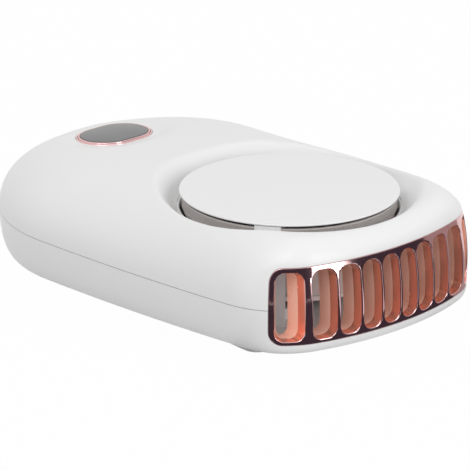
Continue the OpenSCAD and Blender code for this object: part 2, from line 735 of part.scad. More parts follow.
// Tactile switch under the key, with its plunger riding with the key
switch_w = 6;
switch_h = 3.8;
plunger_r = 1.7;
plunger_in = 0.7;
plunger_h = 3.3;
switch_z1 = board_top + switch_h;
plunger_top = switch_z1 - plunger_in + plunger_h;
stem_gap = 0.15;
stem_low = (button_z - plunger_top) / cos(button_tilt) - stem_gap;
switch_y = button_cy - stem_low * sin(button_tilt);
module power_key() {
  side = key_half_w - key_edge;
  color([0.54, 0.54, 0.54]) at_button() {
    pill_sweep(key_half_len, key_half_w) {
      polygon(concat([[0, -key_low], [key_half_w, -key_low]],
        [for (a = [0:30:90]) [side + key_edge * cos(a), key_top - key_dome - key_edge * (1 - sin(a))]],
        [for (k = [1:4]) let (t = 1 - k / 4) [side * t, key_top - key_dome * t * t]]));
      translate([side, -key_low]) square([key_edge + key_flange_w, key_flange_h]);
    }
    translate([0, 0, -stem_low]) cylinder(r = stem_r, h = stem_low - key_low + key_edge, $fn = fn_small);
  }
}
module key_plunger() {
  color("black") translate([0, switch_y, plunger_top - plunger_h])
    cylinder(r = plunger_r, h = plunger_h, $fn = fn_small);
}
module key_switch() {
  deep = plunger_in + key_travel + near_gap;
  color("dimgray") translate([0, switch_y, board_top]) difference() {
    translate([0, 0, switch_h / 2]) cube([switch_w, switch_w, switch_h], center = true);
    translate([0, 0, switch_h - deep]) cylinder(r = plunger_r + fit_gap, h = deep + over, $fn = fn_small);
  }
}

module main_board() {
  color([0.1, 0.35, 0.2]) difference() {
    translate([0, 0, board_z]) linear_extrude(board_t) intersection() {
      translate([-board_w / 2, board_y1 - board_l]) square([board_w, board_l]);
      translate([0, rear_cy]) circle(rear_r - wall - board_edge_gap);
    }
    at_posts(board_z - over) cylinder(r = board_screw_r + fit_gap, h = board_t + 2 * over, $fn = fn_small);
  }
}
module charge_socket() {
  tongue_w = socket_w * tongue_share;
  color("silver") translate([0, board_y1, seam_z]) rotate([90, 0, 0]) {
    difference() {
      linear_extrude(socket_l) pill(socket_w / 2, socket_h / 2);
      translate([0, 0, -over]) linear_extrude(socket_l - socket_wall + over)
        pill(socket_w / 2 - socket_wall, socket_h / 2 - socket_wall);
    }
    translate([-tongue_w / 2, -socket_wall, over]) cube([tongue_w, 2 * socket_wall, socket_l - over]);
  }
}
// Chips and coil: places on the board beside the switch, and sizes
power_chip = [4, 5, 1.4];
logic_chip = [3, 3, 1];
power_chip_at = [-6, 6.5];
logic_chip_at = [6, 6.5];
charge_chip_at = [-9.5, 0.5];
coil_at = [8, 0.5];
coil_w = 5;
coil_h = 2.6;
coil_corner_r = 0.8;
module chip(at, size) {
  translate([at[0] - size[0] / 2, switch_y + at[1] - size[1] / 2, board_top]) cube(size);
}
module control_chips() {
  color([0.15, 0.15, 0.16]) {
    chip(power_chip_at, power_chip);
    chip(logic_chip_at, logic_chip);
    chip(charge_chip_at, logic_chip);
  }
}
module boost_coil() {
  color([0.3, 0.3, 0.32]) translate([coil_at[0], switch_y + coil_at[1], board_top])
    round_block(coil_w, coil_w, coil_corner_r, coil_h, $fn = fn_small);
}
cell_seal = 1;
seal_w_share = 0.8;
seal_h_share = 0.6;
module battery_cell() {
  color([0.75, 0.77, 0.8]) translate([0, cell_cy, cell_z + cell_t / 2]) {
    translate([0, cell_l / 2, 0]) rotate([90, 0, 0]) linear_extrude(cell_l - cell_seal)
      pill(cell_w / 2, cell_t / 2);
    translate([0, -cell_l / 2 + cell_seal, 0])
      cube([cell_w * seal_w_share, 2 * cell_seal, cell_t * seal_h_share], center = true);
  }
}
pad_corner_r = 2;
pad_share = 0.7;
module battery_pad() {
  color("black") translate([0, cell_cy, floor_z])
    round_block(cell_w * pad_share, cell_l * pad_share, pad_corner_r, pad_t);
}
// Leads: hand-chosen routes, from the cell up to the board and from the motor round the cell
lead_r = 0.55;
lead_bend = 0.9;
lead_sides = 8;
cell_lead_at = [-6.2, -8];
cell_lead_up = 2;
cell_lead_out = 1.9;
motor_lead_low = 1;
motor_lead_side = 2.6;
motor_lead_gap = 1.1;
module battery_leads() {
  z = cell_z + cell_t / 2 + cell_lead_up;
  y = cell_y1 + cell_lead_out;
  for (k = [0, 1]) let (x = cell_lead_at[k]) color(k == 0 ? "red" : "black")
    tube(rounded_route([[x, cell_y1, z], [x, y, z], [x, y, board_z]], lead_bend),
      lead_r, lead_sides, [1, 0, 0]);
}
module motor_leads() {
  z0 = floor_z + motor_lead_low;
  z1 = board_top + lead_r;
  x1 = cell_w / 2 + motor_lead_side;
  y0 = cell_y0 - motor_lead_gap;
  y1 = board_y1 - board_l + 2 * motor_lead_side;
  color("gray") tube(rounded_route([[lead_at, disc_y + base_r + near_gap, z0], [lead_at, y0, z0],
      [x1, y0, z0], [x1, y1, z0], [x1, y1, z1], [board_w / 2 - motor_lead_side, y1, z1]], lead_bend),
    lead_r, lead_sides, [0, 0, 1]);
}

// Fan wheel: a hub over the rotor cup, a back plate and forward-curved blades under a rim
hub_t = 1.3;
hub_r = cup_r + hub_t;
hub_edge = 4;
hub_crown = 1.6;
hub_bore_wall = 1.2;
hub_foot = 2;
cup_h = 8;
cup_t = 0.8;
cup_lift = 1.5;
cup_z = motor_z + cup_lift;
hub_top = cup_z + cup_h + hub_t;
plate_up = 0.9;
plate_z = cup_z + plate_up;
plate_t = 1;
blade_drop = 1.6;
blade_top = land_z - blade_drop;
blade_in_r = 16.2;
blade_end_in = 0.3;
blade_t = 0.75;
blade_lean = 26;
wheel_rim_h = 1;
wheel_rim_w = 1.3;
module fan_wheel() {
  bore_r = shaft_r + hub_bore_wall;
  seat_r = cup_r + press_gap;
  color([0.42, 0.38, 0.37]) at_disc(0) {
    rotate_extrude() polygon(concat(
      [[seat_r, plate_z], [wheel_r, plate_z], [wheel_r, plate_z + plate_t],
        [hub_r + hub_foot, plate_z + plate_t], [hub_r, plate_z + plate_t + hub_foot]],
      [for (a = [0:15:90]) [hub_r - hub_edge * (1 - cos(a)), hub_top - hub_crown * (1 - sin(a))]],
      [[bore_r, hub_top], [bore_r, cup_z + cup_h], [seat_r, cup_z + cup_h]]));
    translate([0, 0, plate_z + plate_t / 2]) linear_extrude(blade_top - plate_z - plate_t / 2)
      for (k = [0:blade_n - 1]) rotate(360 * k / blade_n) polygon(blade_outline());
    translate([0, 0, blade_top - wheel_rim_h]) ring(wheel_r, wheel_r - wheel_rim_w, wheel_rim_h);
  }
}
// One blade: its leaning arc from the inner to the outer radius, with its thickness
function blade_mid(t) =
  let (r = mix(blade_in_r, wheel_r - blade_end_in, t), a = blade_lean * t * t) [r * cos(a), r * sin(a)];
function blade_outline() =
  let (n = 5, half = [0, blade_t / 2])
  concat([for (k = [0:n]) blade_mid(k / n) - half], [for (k = [n:-1:0]) blade_mid(k / n) + half]);

module rotor_cup() {
  color("silver") at_disc(cup_z) difference() {
    cylinder(r = cup_r, h = cup_h);
    translate([0, 0, -over]) cylinder(r = cup_r - cup_t, h = cup_h - cup_t + over);
    cylinder(r = shaft_r + press_gap, h = cup_h + over, $fn = fn_small);
  }
}
magnet_t = 1.2;
magnet_up = 0.3;
magnet_h = cup_h - cup_t - 2 * magnet_up;
module rotor_magnet() {
  r = cup_r - cup_t - press_gap;
  color([0.25, 0.25, 0.27]) at_disc(cup_z + magnet_up) ring(r, r - magnet_t, magnet_h);
}
shaft_z0 = floor_z + near_gap;
shaft_over = 0.8;
module motor_shaft() {
  color("lightgray") at_disc(shaft_z0)
    cylinder(r = shaft_r, h = cup_z + cup_h + shaft_over - shaft_z0, $fn = fn_small);
}
shaft_clip_t = 0.4;
shaft_clip_w = 0.75;
module shaft_clip() {
  color("dimgray") at_disc(base_z - near_gap - shaft_clip_t)
    ring(shaft_r + shaft_clip_w, shaft_r + press_gap, shaft_clip_t, $fn = fn_small);
}
bush_t = 1.1;
bush_r = shaft_r + bush_t;
tube_t = 0.9;
tube_r = bush_r + tube_t;
tube_gap = 1;
tube_z1 = cup_z + cup_h - cup_t - tube_gap;
bush_h = 2.6;
module bearing(z) {
  color([0.7, 0.55, 0.25]) at_disc(z) ring(bush_r, shaft_r + run_gap, bush_h, $fn = fn_small);
}
module bearing_upper() {
  bearing(tube_z1 - bush_h);
}
module bearing_lower() {
  bearing(base_z);
}
air_gap = 0.35;
stator_r = cup_r - cup_t - magnet_t - air_gap;
stator_up = 2.3;
stator_z = motor_z + stator_up;
stator_h = 3.6;
core_t = 1.6;
tooth_w = 1.6;
shoe_t = 1;
shoe_a = 22;
tooth_n = 6;
module stator_core() {
  color([0.45, 0.47, 0.5]) at_disc(stator_z) difference() {
    union() {
      cylinder(r = tube_r + core_t, h = stator_h);
      for (k = [0:tooth_n - 1]) rotate([0, 0, 360 * k / tooth_n]) {
        translate([tube_r, -tooth_w / 2, 0]) cube([stator_r - tube_r - shoe_t / 2, tooth_w, stator_h]);
        intersection() {
          ring(stator_r, stator_r - shoe_t, stator_h);
          rotate([0, 0, -shoe_a]) cube([stator_r + over, stator_r, stator_h]);
          rotate([0, 0, shoe_a - 90]) cube([stator_r + over, stator_r, stator_h]);
        }
      }
    }
    translate([0, 0, -over]) cylinder(r = tube_r + press_gap, h = stator_h + 2 * over);
  }
}
wind_gap = 0.05;
wind_t = 0.75;
wind_end = 0.25;
wind_corner_r = 0.5;
module stator_coils() {
  l = stator_r - shoe_t - tube_r - core_t - 2 * wind_end;
  inner = [stator_h + 2 * wind_gap, tooth_w + 2 * wind_gap];
  color([0.75, 0.4, 0.2]) at_disc(stator_z) for (k = [0:tooth_n - 1])
    rotate([0, 0, 360 * k / tooth_n]) translate([tube_r + core_t + wind_end, 0, stator_h / 2])
      rotate([0, 90, 0]) difference() {
        round_block(inner[0] + 2 * wind_t, inner[1] + 2 * wind_t, wind_corner_r, l, $fn = fn_small);
        translate([0, 0, -over]) linear_extrude(l + 2 * over) square(inner, center = true);
      }
}
base_step = 1.2;
module motor_base() {
  color("white") difference() {
    at_disc(0) {
      translate([0, 0, base_z]) cylinder(r = base_r, h = base_t);
      translate([0, 0, base_z]) cylinder(r = tube_r, h = tube_z1 - base_z);
      translate([0, 0, motor_z]) cylinder(r = tube_r + base_step, h = stator_up);
    }
    at_disc(base_z - over) cylinder(r = bush_r + press_gap, h = tube_z1 - base_z + 2 * over, $fn = fn_small);
    at_base_screws(base_z - over)
      cylinder(r = base_screw_r + fit_gap, h = base_t + 2 * over, $fn = fn_small);
  }
}
motor_board_t = 0.8;
base_head_r = 1.6;
base_head_h = 0.8;
module motor_board() {
  color([0.1, 0.35, 0.2]) at_disc(motor_z)
    ring(base_screw_at - base_head_r - 2 * wind_end, tube_r + base_step + fit_gap, motor_board_t);
}
// Pan-head screw with its head at the low end and its shank upwards
cross_l_share = 1.3;
cross_w_share = 0.28;
module screw(r, head_r, head_h, length) {
  cylinder(r = r, h = length, $fn = fn_small);
  translate([0, 0, -head_h]) difference() {
    cylinder(r = head_r, h = head_h, $fn = fn_small);
    for (a = [0, 90]) rotate([0, 0, a]) cube([head_r * cross_l_share, head_r * cross_w_share, head_h], center = true);
  }
}
module motor_screws() {
  color("gray") at_base_screws(motor_z) rotate([180, 0, 0])
    screw(base_screw_r, base_head_r, base_head_h, base_t + base_screw_deep);
}
module board_screws() {
  color("gray") at_posts(board_top) rotate([180, 0, 0])
    screw(board_screw_r, board_head_r, board_head_h, board_t + board_screw_deep);
}
module case_screws() {
  color("gray") for (p = case_places) translate([p[0], p[1], case_seat_z])
    screw(case_screw_r, case_head_r, case_head_h, case_screw_l);
}

// Belt clip: a plate with rounded corners, its knuckles, and a ridge that closes the belt gap
plate_corner_r = 4.5;
ridge_r = 7;
ridge_share = 0.72;
grip_share = 0.5;
grip_r = 0.6;
grip_from = 4;
grip_step = 2.4;
grip_n = 4;
// Plan of the clip: it narrows from its pressed end to its ridge, with round corners
module clip_plan() {
  r = plate_corner_r;
  lean = atan((clip_w - clip_end_w) / 2 / clip_l);
  x0 = clip_w / 2 - r * (1 + sin(lean)) / cos(lean);
  x1 = clip_end_w / 2 - r * (1 - sin(lean)) / cos(lean);
  corners = [[x0, r], [x1, clip_l - r]];
  out = r * [cos(lean), sin(lean)];
  half = [corners[0] - [0, r], corners[0] + out, corners[1] + out, corners[1] + [0, r]];
  polygon(concat(half, [for (k = [3:-1:0]) [-half[k][0], half[k][1]]]));
  for (c = corners) for (side = [-1, 1]) translate([side * c[0], c[1]]) circle(r);
}
module belt_clip() {
  edge = clip_t / 2;
  clip_y1 = clip_y0 + clip_l;
  ridge_y = clip_y1 - ridge_r;
  color([0.9, 0.9, 0.91]) difference() {
    union() {
      intersection() {
        translate([-clip_w / 2, 0, 0]) rotate([90, 0, 90]) linear_extrude(clip_w) {
          translate([clip_y0 + edge, 0]) square([clip_l - clip_t, clip_t]);
          for (y = [clip_y0 + edge, clip_y1 - edge]) translate([y, edge]) circle(edge);
        }
        translate([0, clip_y0, -over]) linear_extrude(clip_t + 2 * over) clip_plan();
      }
      translate([-clip_w * ridge_share / 2, 0, 0]) rotate([90, 0, 90]) linear_extrude(clip_w * ridge_share)
        intersection() {
          translate([ridge_y, back_z - near_gap - ridge_r]) circle(ridge_r);
          translate([ridge_y - ridge_r, edge]) square([2 * ridge_r, back_z]);
        }
      for (x = [-knuckle_x, knuckle_x]) translate([x - knuckle_w / 2, hinge_y, hinge_z]) {
        rotate([0, 90, 0]) cylinder(r = knuckle_r, h = knuckle_w, $fn = fn_small);
        translate([0, -knuckle_r, edge - hinge_z]) cube([knuckle_w, 2 * knuckle_r, hinge_z - edge]);
      }
    }
    translate([0, hinge_y, hinge_z]) rotate([0, 90, 0])
      cylinder(r = pin_r + run_gap, h = clip_w, center = true, $fn = fn_small);
    for (k = [0:grip_n - 1]) translate([0, clip_y0 + grip_from + grip_step * k, 0]) rotate([0, 90, 0])
      cylinder(r = grip_r, h = clip_w * grip_share, center = true, $fn = fn_small);
  }
}
module clip_pin() {
  color("silver") translate([0, hinge_y, hinge_z]) rotate([0, 90, 0])
    cylinder(r = pin_r, h = 2 * ear_x + ear_w, center = true, $fn = fn_small);
}
// Torsion spring around the pin: its legs push the clip's pressed end away from the back
spring_wire_r = 0.3;
spring_r = 1.55;
spring_turns = 5;
spring_gap = 0.7;
spring_w = 2 * (knuckle_x - knuckle_w / 2 - spring_gap);
spring_leg = 7;
spring_points = let (n = 8, m = n * (spring_turns + 0.5)) concat(
  [[-spring_w / 2, hinge_y - spring_leg, clip_t + spring_wire_r]],
  [for (k = [0:m]) let (a = -90 + 360 * k / n)
    [mix(-spring_w / 2, spring_w / 2, k / m), hinge_y + spring_r * cos(a), hinge_z + spring_r * sin(a)]],
  [[spring_w / 2, hinge_y - spring_leg, back_z - spring_wire_r]]);
echo(least_spring_gap = min([for (i = [1:len(spring_points) - 6]) for (j = [i + 4:len(spring_points) - 2])
  norm(spring_points[i] - spring_points[j])]) - 2 * spring_wire_r);
module clip_spring() {
  color("gray") tube(spring_points, spring_wire_r, 6, [1, 0, 0]);
}

top_shell();
bottom_shell();
intake_cover();
outlet_grille();
button_ring();
power_key();
key_plunger();
key_switch();
main_board();
charge_socket();
control_chips();
boost_coil();
battery_cell();
battery_pad();
battery_leads();
motor_leads();
fan_wheel();
rotor_cup();
rotor_magnet();
motor_shaft();
shaft_clip();
bearing_upper();
bearing_lower();
stator_core();
stator_coils();
motor_base();
motor_board();
motor_screws();
board_screws();
case_screws();
belt_clip();
clip_pin();
clip_spring();
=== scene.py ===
import math

import bmesh
import bpy
import numpy as np
from bpy.props import FloatProperty, FloatVectorProperty, PointerProperty
from mathutils import Matrix, Vector


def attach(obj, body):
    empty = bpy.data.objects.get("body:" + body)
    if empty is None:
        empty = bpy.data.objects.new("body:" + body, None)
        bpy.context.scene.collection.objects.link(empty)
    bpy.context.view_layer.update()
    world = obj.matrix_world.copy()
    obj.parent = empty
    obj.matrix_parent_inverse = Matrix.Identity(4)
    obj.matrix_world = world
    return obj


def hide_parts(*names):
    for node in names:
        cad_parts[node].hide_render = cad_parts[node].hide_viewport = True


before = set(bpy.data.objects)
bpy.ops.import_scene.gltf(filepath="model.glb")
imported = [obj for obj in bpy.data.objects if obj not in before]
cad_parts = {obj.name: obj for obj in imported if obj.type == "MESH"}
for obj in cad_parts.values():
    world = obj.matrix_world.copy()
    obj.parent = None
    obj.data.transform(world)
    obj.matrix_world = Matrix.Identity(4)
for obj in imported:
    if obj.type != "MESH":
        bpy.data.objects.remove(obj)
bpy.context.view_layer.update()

bl_info = {
    "name": "Neck Fan Looks",
    "version": (1, 0, 0),
    "blender": (4, 5, 0),
    "location": "View3D > Sidebar > Neck Fan",
    "description": "Models the visible pieces of a neck fan around its packed solids",
    "category": "Object",
}


# Sizes, colours and stage settings

def length(name, note, value):
    """A length that a user can change, in metres."""
    return FloatProperty(name=name, description=note, default=value, min=0.0, unit="LENGTH", precision=5)


def angle(name, note, degrees):
    """An angle that a user can change."""
    return FloatProperty(name=name, description=note, default=math.radians(degrees), subtype="ANGLE")


def wattage(name, note, watts):
    """The power of a light."""
    return FloatProperty(name=name, description=note, default=watts, unit="POWER")


def colour(name, note, value):
    """A linear colour."""
    return FloatVectorProperty(name=name, description=note, default=value, size=3, min=0.0, max=1.0,
                               subtype="COLOR")


class FanSizes(bpy.types.PropertyGroup):
    """Sizes of the fan, as in its solids"""
    body_len: length("Body length", "From the outlet to the button end", 0.123)
    rear_r: length("Button end radius", "Plan radius of the round end", 0.0402)
    side_r: length("Side radius", "Plan radius of the long sides", 0.575)
    front_r: length("Outlet radius", "Plan radius of the bowed outlet end", 0.0775)
    corner_r: length("Corner radius", "Plan radius of the outlet corners", 0.019)
    corner_x: length("Corner offset", "Distance of the corner centres from the middle", 0.0178)
    body_h: length("Body height", "From the back to the shoulder of the face", 0.0265)
    crown_h: length("Crown", "Rise of the face in the middle", 0.00125)
    seam_h: length("Seam height", "Height of the seam above the back", 0.0107)
    wall: length("Wall", "Wall of the shells", 0.0018)
    round_side: length("Side rounding", "Inset over which the face rounds into the sides", 0.028)
    round_rear: length("End rounding", "The same at the button end", 0.0207)
    round_front: length("Outlet rounding", "The same above the outlet", 0.0057)
    under_side: length("Lower side rounding", "Inset of the back's edge along the sides", 0.003)
    under_rear: length("Lower end rounding", "The same at the button end", 0.005)
    under_front: length("Lower outlet rounding", "The same below the outlet", 0.0012)
    rear_droop: length("Droop", "Drop of the face at the button end", 0.0035)
    intake_y: length("Intake place", "Distance of the intake from the outlet end", 0.0377)
    rim_h: length("Cover height", "Height of the cover's rim above the back", 0.0259)
    cover_r: length("Cover radius", "Radius of the round cover", 0.0263)
    cover_t: length("Cover thickness", "Thickness of the cover inside its thin rim", 0.0013)
    cover_edge: length("Cover edge", "Thickness of the cover's rim", 0.0005)
    cover_dome: length("Cover dome", "Rise of the cover's middle", 0.0005)
    hole_r: length("Intake radius", "Radius of the hole under the cover", 0.0262)
    land_drop: length("Land depth", "Depth of the land below the cover's rim", 0.0041)
    front_sag: length("Outlet sag", "Sag of the face between the intake and the outlet", 0.00095)
    front_sag_w: length("Outlet sag width", "Half width over which the face sags there", 0.022)
    leg_w: length("Leg width", "Width of the cover's legs", 0.0062)
    grille_h: length("Grille height", "Height of the grille", 0.0183)
    grille_low: length("Grille place", "Height of its lower edge above the back", 0.00235)
    grille_depth: length("Opening depth", "Depth of the opening for the grille", 0.008)
    slot_depth: length("Slot depth", "Depth of the slots", 0.0062)
    # Depth from which the slots take the paler, nearly unmetallic copy of the plating that is painted light
    # deep in the slots
    painted_light_depth: length("Bright depth", "Depth to which the slots are plated in full", 0.0027)
    bulge: length("Grille bulge", "Inset of the face at the grille's upper edge", 0.0017)
    bulge_low: length("Bulge place", "Height of the fullest place above the grille's lower edge", 0.0052)
    bar_t: length("Bar", "Thickness of the bars between slots", 0.0008)
    end_bar_t: length("End bar", "Thickness of the outermost bars", 0.0019)
    frame_end: length("Frame end", "Border beside the last slot", 0.0014)
    frame_r: length("Frame corners", "Radius of the frame's corners", 0.0033)
    slot_r: length("Slot ends", "Largest radius of the slot ends", 0.0023)
    slot_top: length("Upper border", "Border above the slots", 0.00115)
    slot_low: length("Lower border", "Border below the slots", 0.00085)
    button_y: length("Button place", "Distance of the button from the intake", 0.0628)
    button_sink: length("Button sink", "Depth of the button's flat below the crown", 0.00075)
    key_half_len: length("Key half length", "Half length of the key", 0.0091)
    key_half_w: length("Key half width", "Half width of the key", 0.00675)
    ring_w: length("Ring width", "Width of the bright ring", 0.00095)
    clip_w: length("Clip width", "Width of the belt clip at its pressed end", 0.0476)
    clip_end_w: length("Clip end width", "Width of the belt clip at its ridge end", 0.040)
    clip_l: length("Clip length", "Length of the belt clip", 0.060)
    clip_t: length("Clip thickness", "Thickness of the clip's plate", 0.0022)
    clip_gap: length("Belt gap", "Gap between the clip and the back", 0.0046)
    clip_y: length("Clip place", "Distance of the clip from the outlet end", 0.0242)
    grille_turn: angle("Grille turn", "Angle that each half of the grille turns", 53.6)
    button_tilt: angle("Button tilt", "Tilt of the button towards the end", 2.5)


class FanColours(bpy.types.PropertyGroup):
    """Colours of the fan's finishes"""
    shell: colour("Shell", "White moulded plastic", (0.79, 0.79, 0.79))
    chrome: colour("Rose metal", "Plated face of the grille and the ring", (0.735, 0.475, 0.475))
    # Slot walls: a redder, less metallic copy of the rose plating, whose colour is a painted reflection of
    # light bouncing between the walls
    copper: colour("Slot walls", "Plated walls of the slots", (0.90, 0.38, 0.27))
    # Slot depths: a paler, nearly unmetallic copy of the plating, painted light deep in the slots
    slot_depth_painted_light: colour("Slot depths", "Thinner plating deep in the slots", (0.97, 0.62, 0.50))
    guard: colour("Guard", "Smoky plastic of the guard ring", (0.52, 0.48, 0.46))
    key: colour("Key", "Glossy grey key", (0.11, 0.11, 0.11))
    clip: colour("Clip", "Pale clip", (0.80, 0.81, 0.83))
    wheel: colour("Wheel", "Fan wheel", (0.75, 0.73, 0.72))
    steel: colour("Steel", "Screws, pins and shaft", (0.60, 0.60, 0.62))
    board: colour("Board", "Circuit board", (0.02, 0.16, 0.07))
    bronze: colour("Bronze", "Bushes", (0.55, 0.38, 0.16))
    winding: colour("Winding", "Enamelled copper wire", (0.62, 0.24, 0.09))
    dark: colour("Dark plastic", "Switch, chips and foam", (0.03, 0.03, 0.033))
    foil: colour("Foil", "Wrap of the battery", (0.58, 0.60, 0.64))
    lead: colour("Lead", "Sleeve of the leads", (0.30, 0.03, 0.03))
    floor: colour("Floor", "Pale floor", (0.62, 0.62, 0.62))
    # Cards: glowing dark sheets that only reflections show, painted reflections on the metal
    card: colour("Cards", "Dark cards that only the metal reflects", (0.055, 0.045, 0.06))


class FanStage(bpy.types.PropertyGroup):
    """Camera and light"""
    azimuth: angle("Azimuth", "Turn of the camera round the fan", -44.32)
    elevation: angle("Elevation", "Height angle of the camera", 19.02)
    roll: angle("Roll", "Roll of the camera", 0.4)
    distance: length("Distance", "Distance of the camera from the intake cover", 0.86117)
    lens: FloatProperty(name="Lens", description="Focal length on the camera's sensor", default=277.52,
                        unit="CAMERA")
    top_power: wattage("Top light", "Power of the large light overhead", 0.7)
    front_power: wattage("Front light", "Power of the soft light before the outlet", 3.4)
    side_power: wattage("Side light", "Power of the soft light beside the camera", 2.7)
    room: FloatProperty(name="Room light", description="Strength of the room's own light", default=0.62)


def sizes():
    """The sizes in use."""
    return bpy.context.scene.fan_sizes


# Form of the housing, worked out as in the solids

# Added rounding above the outlet's corners, and the place in X and the run over which it comes in
CORNER_ROUND = 0.0032
CORNER_FROM = 0.019
CORNER_RUN = 0.013
# Shorter side rounding beside the intake, and the places in Y between which it grows to the full one
FORE_RUN = 0.0165
FORE_FROM = -0.040
FORE_TO = 0.010
# Gaps of pieces that move, of pieces that fit together and of the seam, and the height of its tongue
NEAR_GAP = 0.0003
FIT_GAP = 0.0001
SEAM_GAP = 0.00015
TONGUE_H = 0.0012
# Land round the intake, and the foot, softness and slope of the dish's wall and its blend with the face
LAND_W = 0.0007
DISH_FOOT = 0.0004
DISH_SOFT = 0.0005
DISH_SLOPE = 1.1
DISH_BLEND = 0.0005
# Level pad round the button: its run into the face, its border and its depth below the button's plane
PAD_RUN = 0.006
PAD_EDGE = 0.0006
PAD_LOW = 0.00008
# Place behind the intake from which the face droops, and the share of the rest that gives the full droop
DROOP_FROM = 0.0078
DROOP_RUN = 0.8
# Powers of the rounded edges: 2 is round and more is squarer
SIDE_POWER = 2.15
REAR_POWER = 2.6
FRONT_POWER = 1.8
UNDER_POWER = 2.4
# Bearings in degrees between which the outlet passes into the sides, and the turn past 90 to the end
SIDE_FROM = 35.0
SIDE_TO = 75.0
REAR_TURN = 80.0
# Least radius of a plan arc, and the value past which a softened slope is as good as straight
LEAST_R = 0.0002
STEEP = 30.0
# Bar middles and the grille's end as shares of its half, and the share whose slots run straight back
BAR_SHARES = (0.0, 0.161, 0.33, 0.512, 0.730, 1.0)
STRAIGHT_TO = 0.72
# Steps of the plan outline
STEPS_FRONT, STEPS_CORNER, STEPS_SIDE, STEPS_REAR = 20, 30, 24, 56


def mix(a, b, t):
    """From a to b by the share t."""
    return a + (b - a) * t


def smooth(t):
    """Smooth step from 0 to 1."""
    t = min(max(t, 0.0), 1.0)
    return t * t * (3 - 2 * t)


def rise(x, power):
    """Height share of a rounded edge at a share of its inset."""
    return 1.0 if x >= 1 else (1 - (1 - max(x, 0.0)) ** power) ** (1 / power)


def soft_min(a, b, k):
    """Smaller of two heights with a rounded change-over."""
    return min(a, b) - k * math.log(1 + math.exp(-abs(a - b) / k))


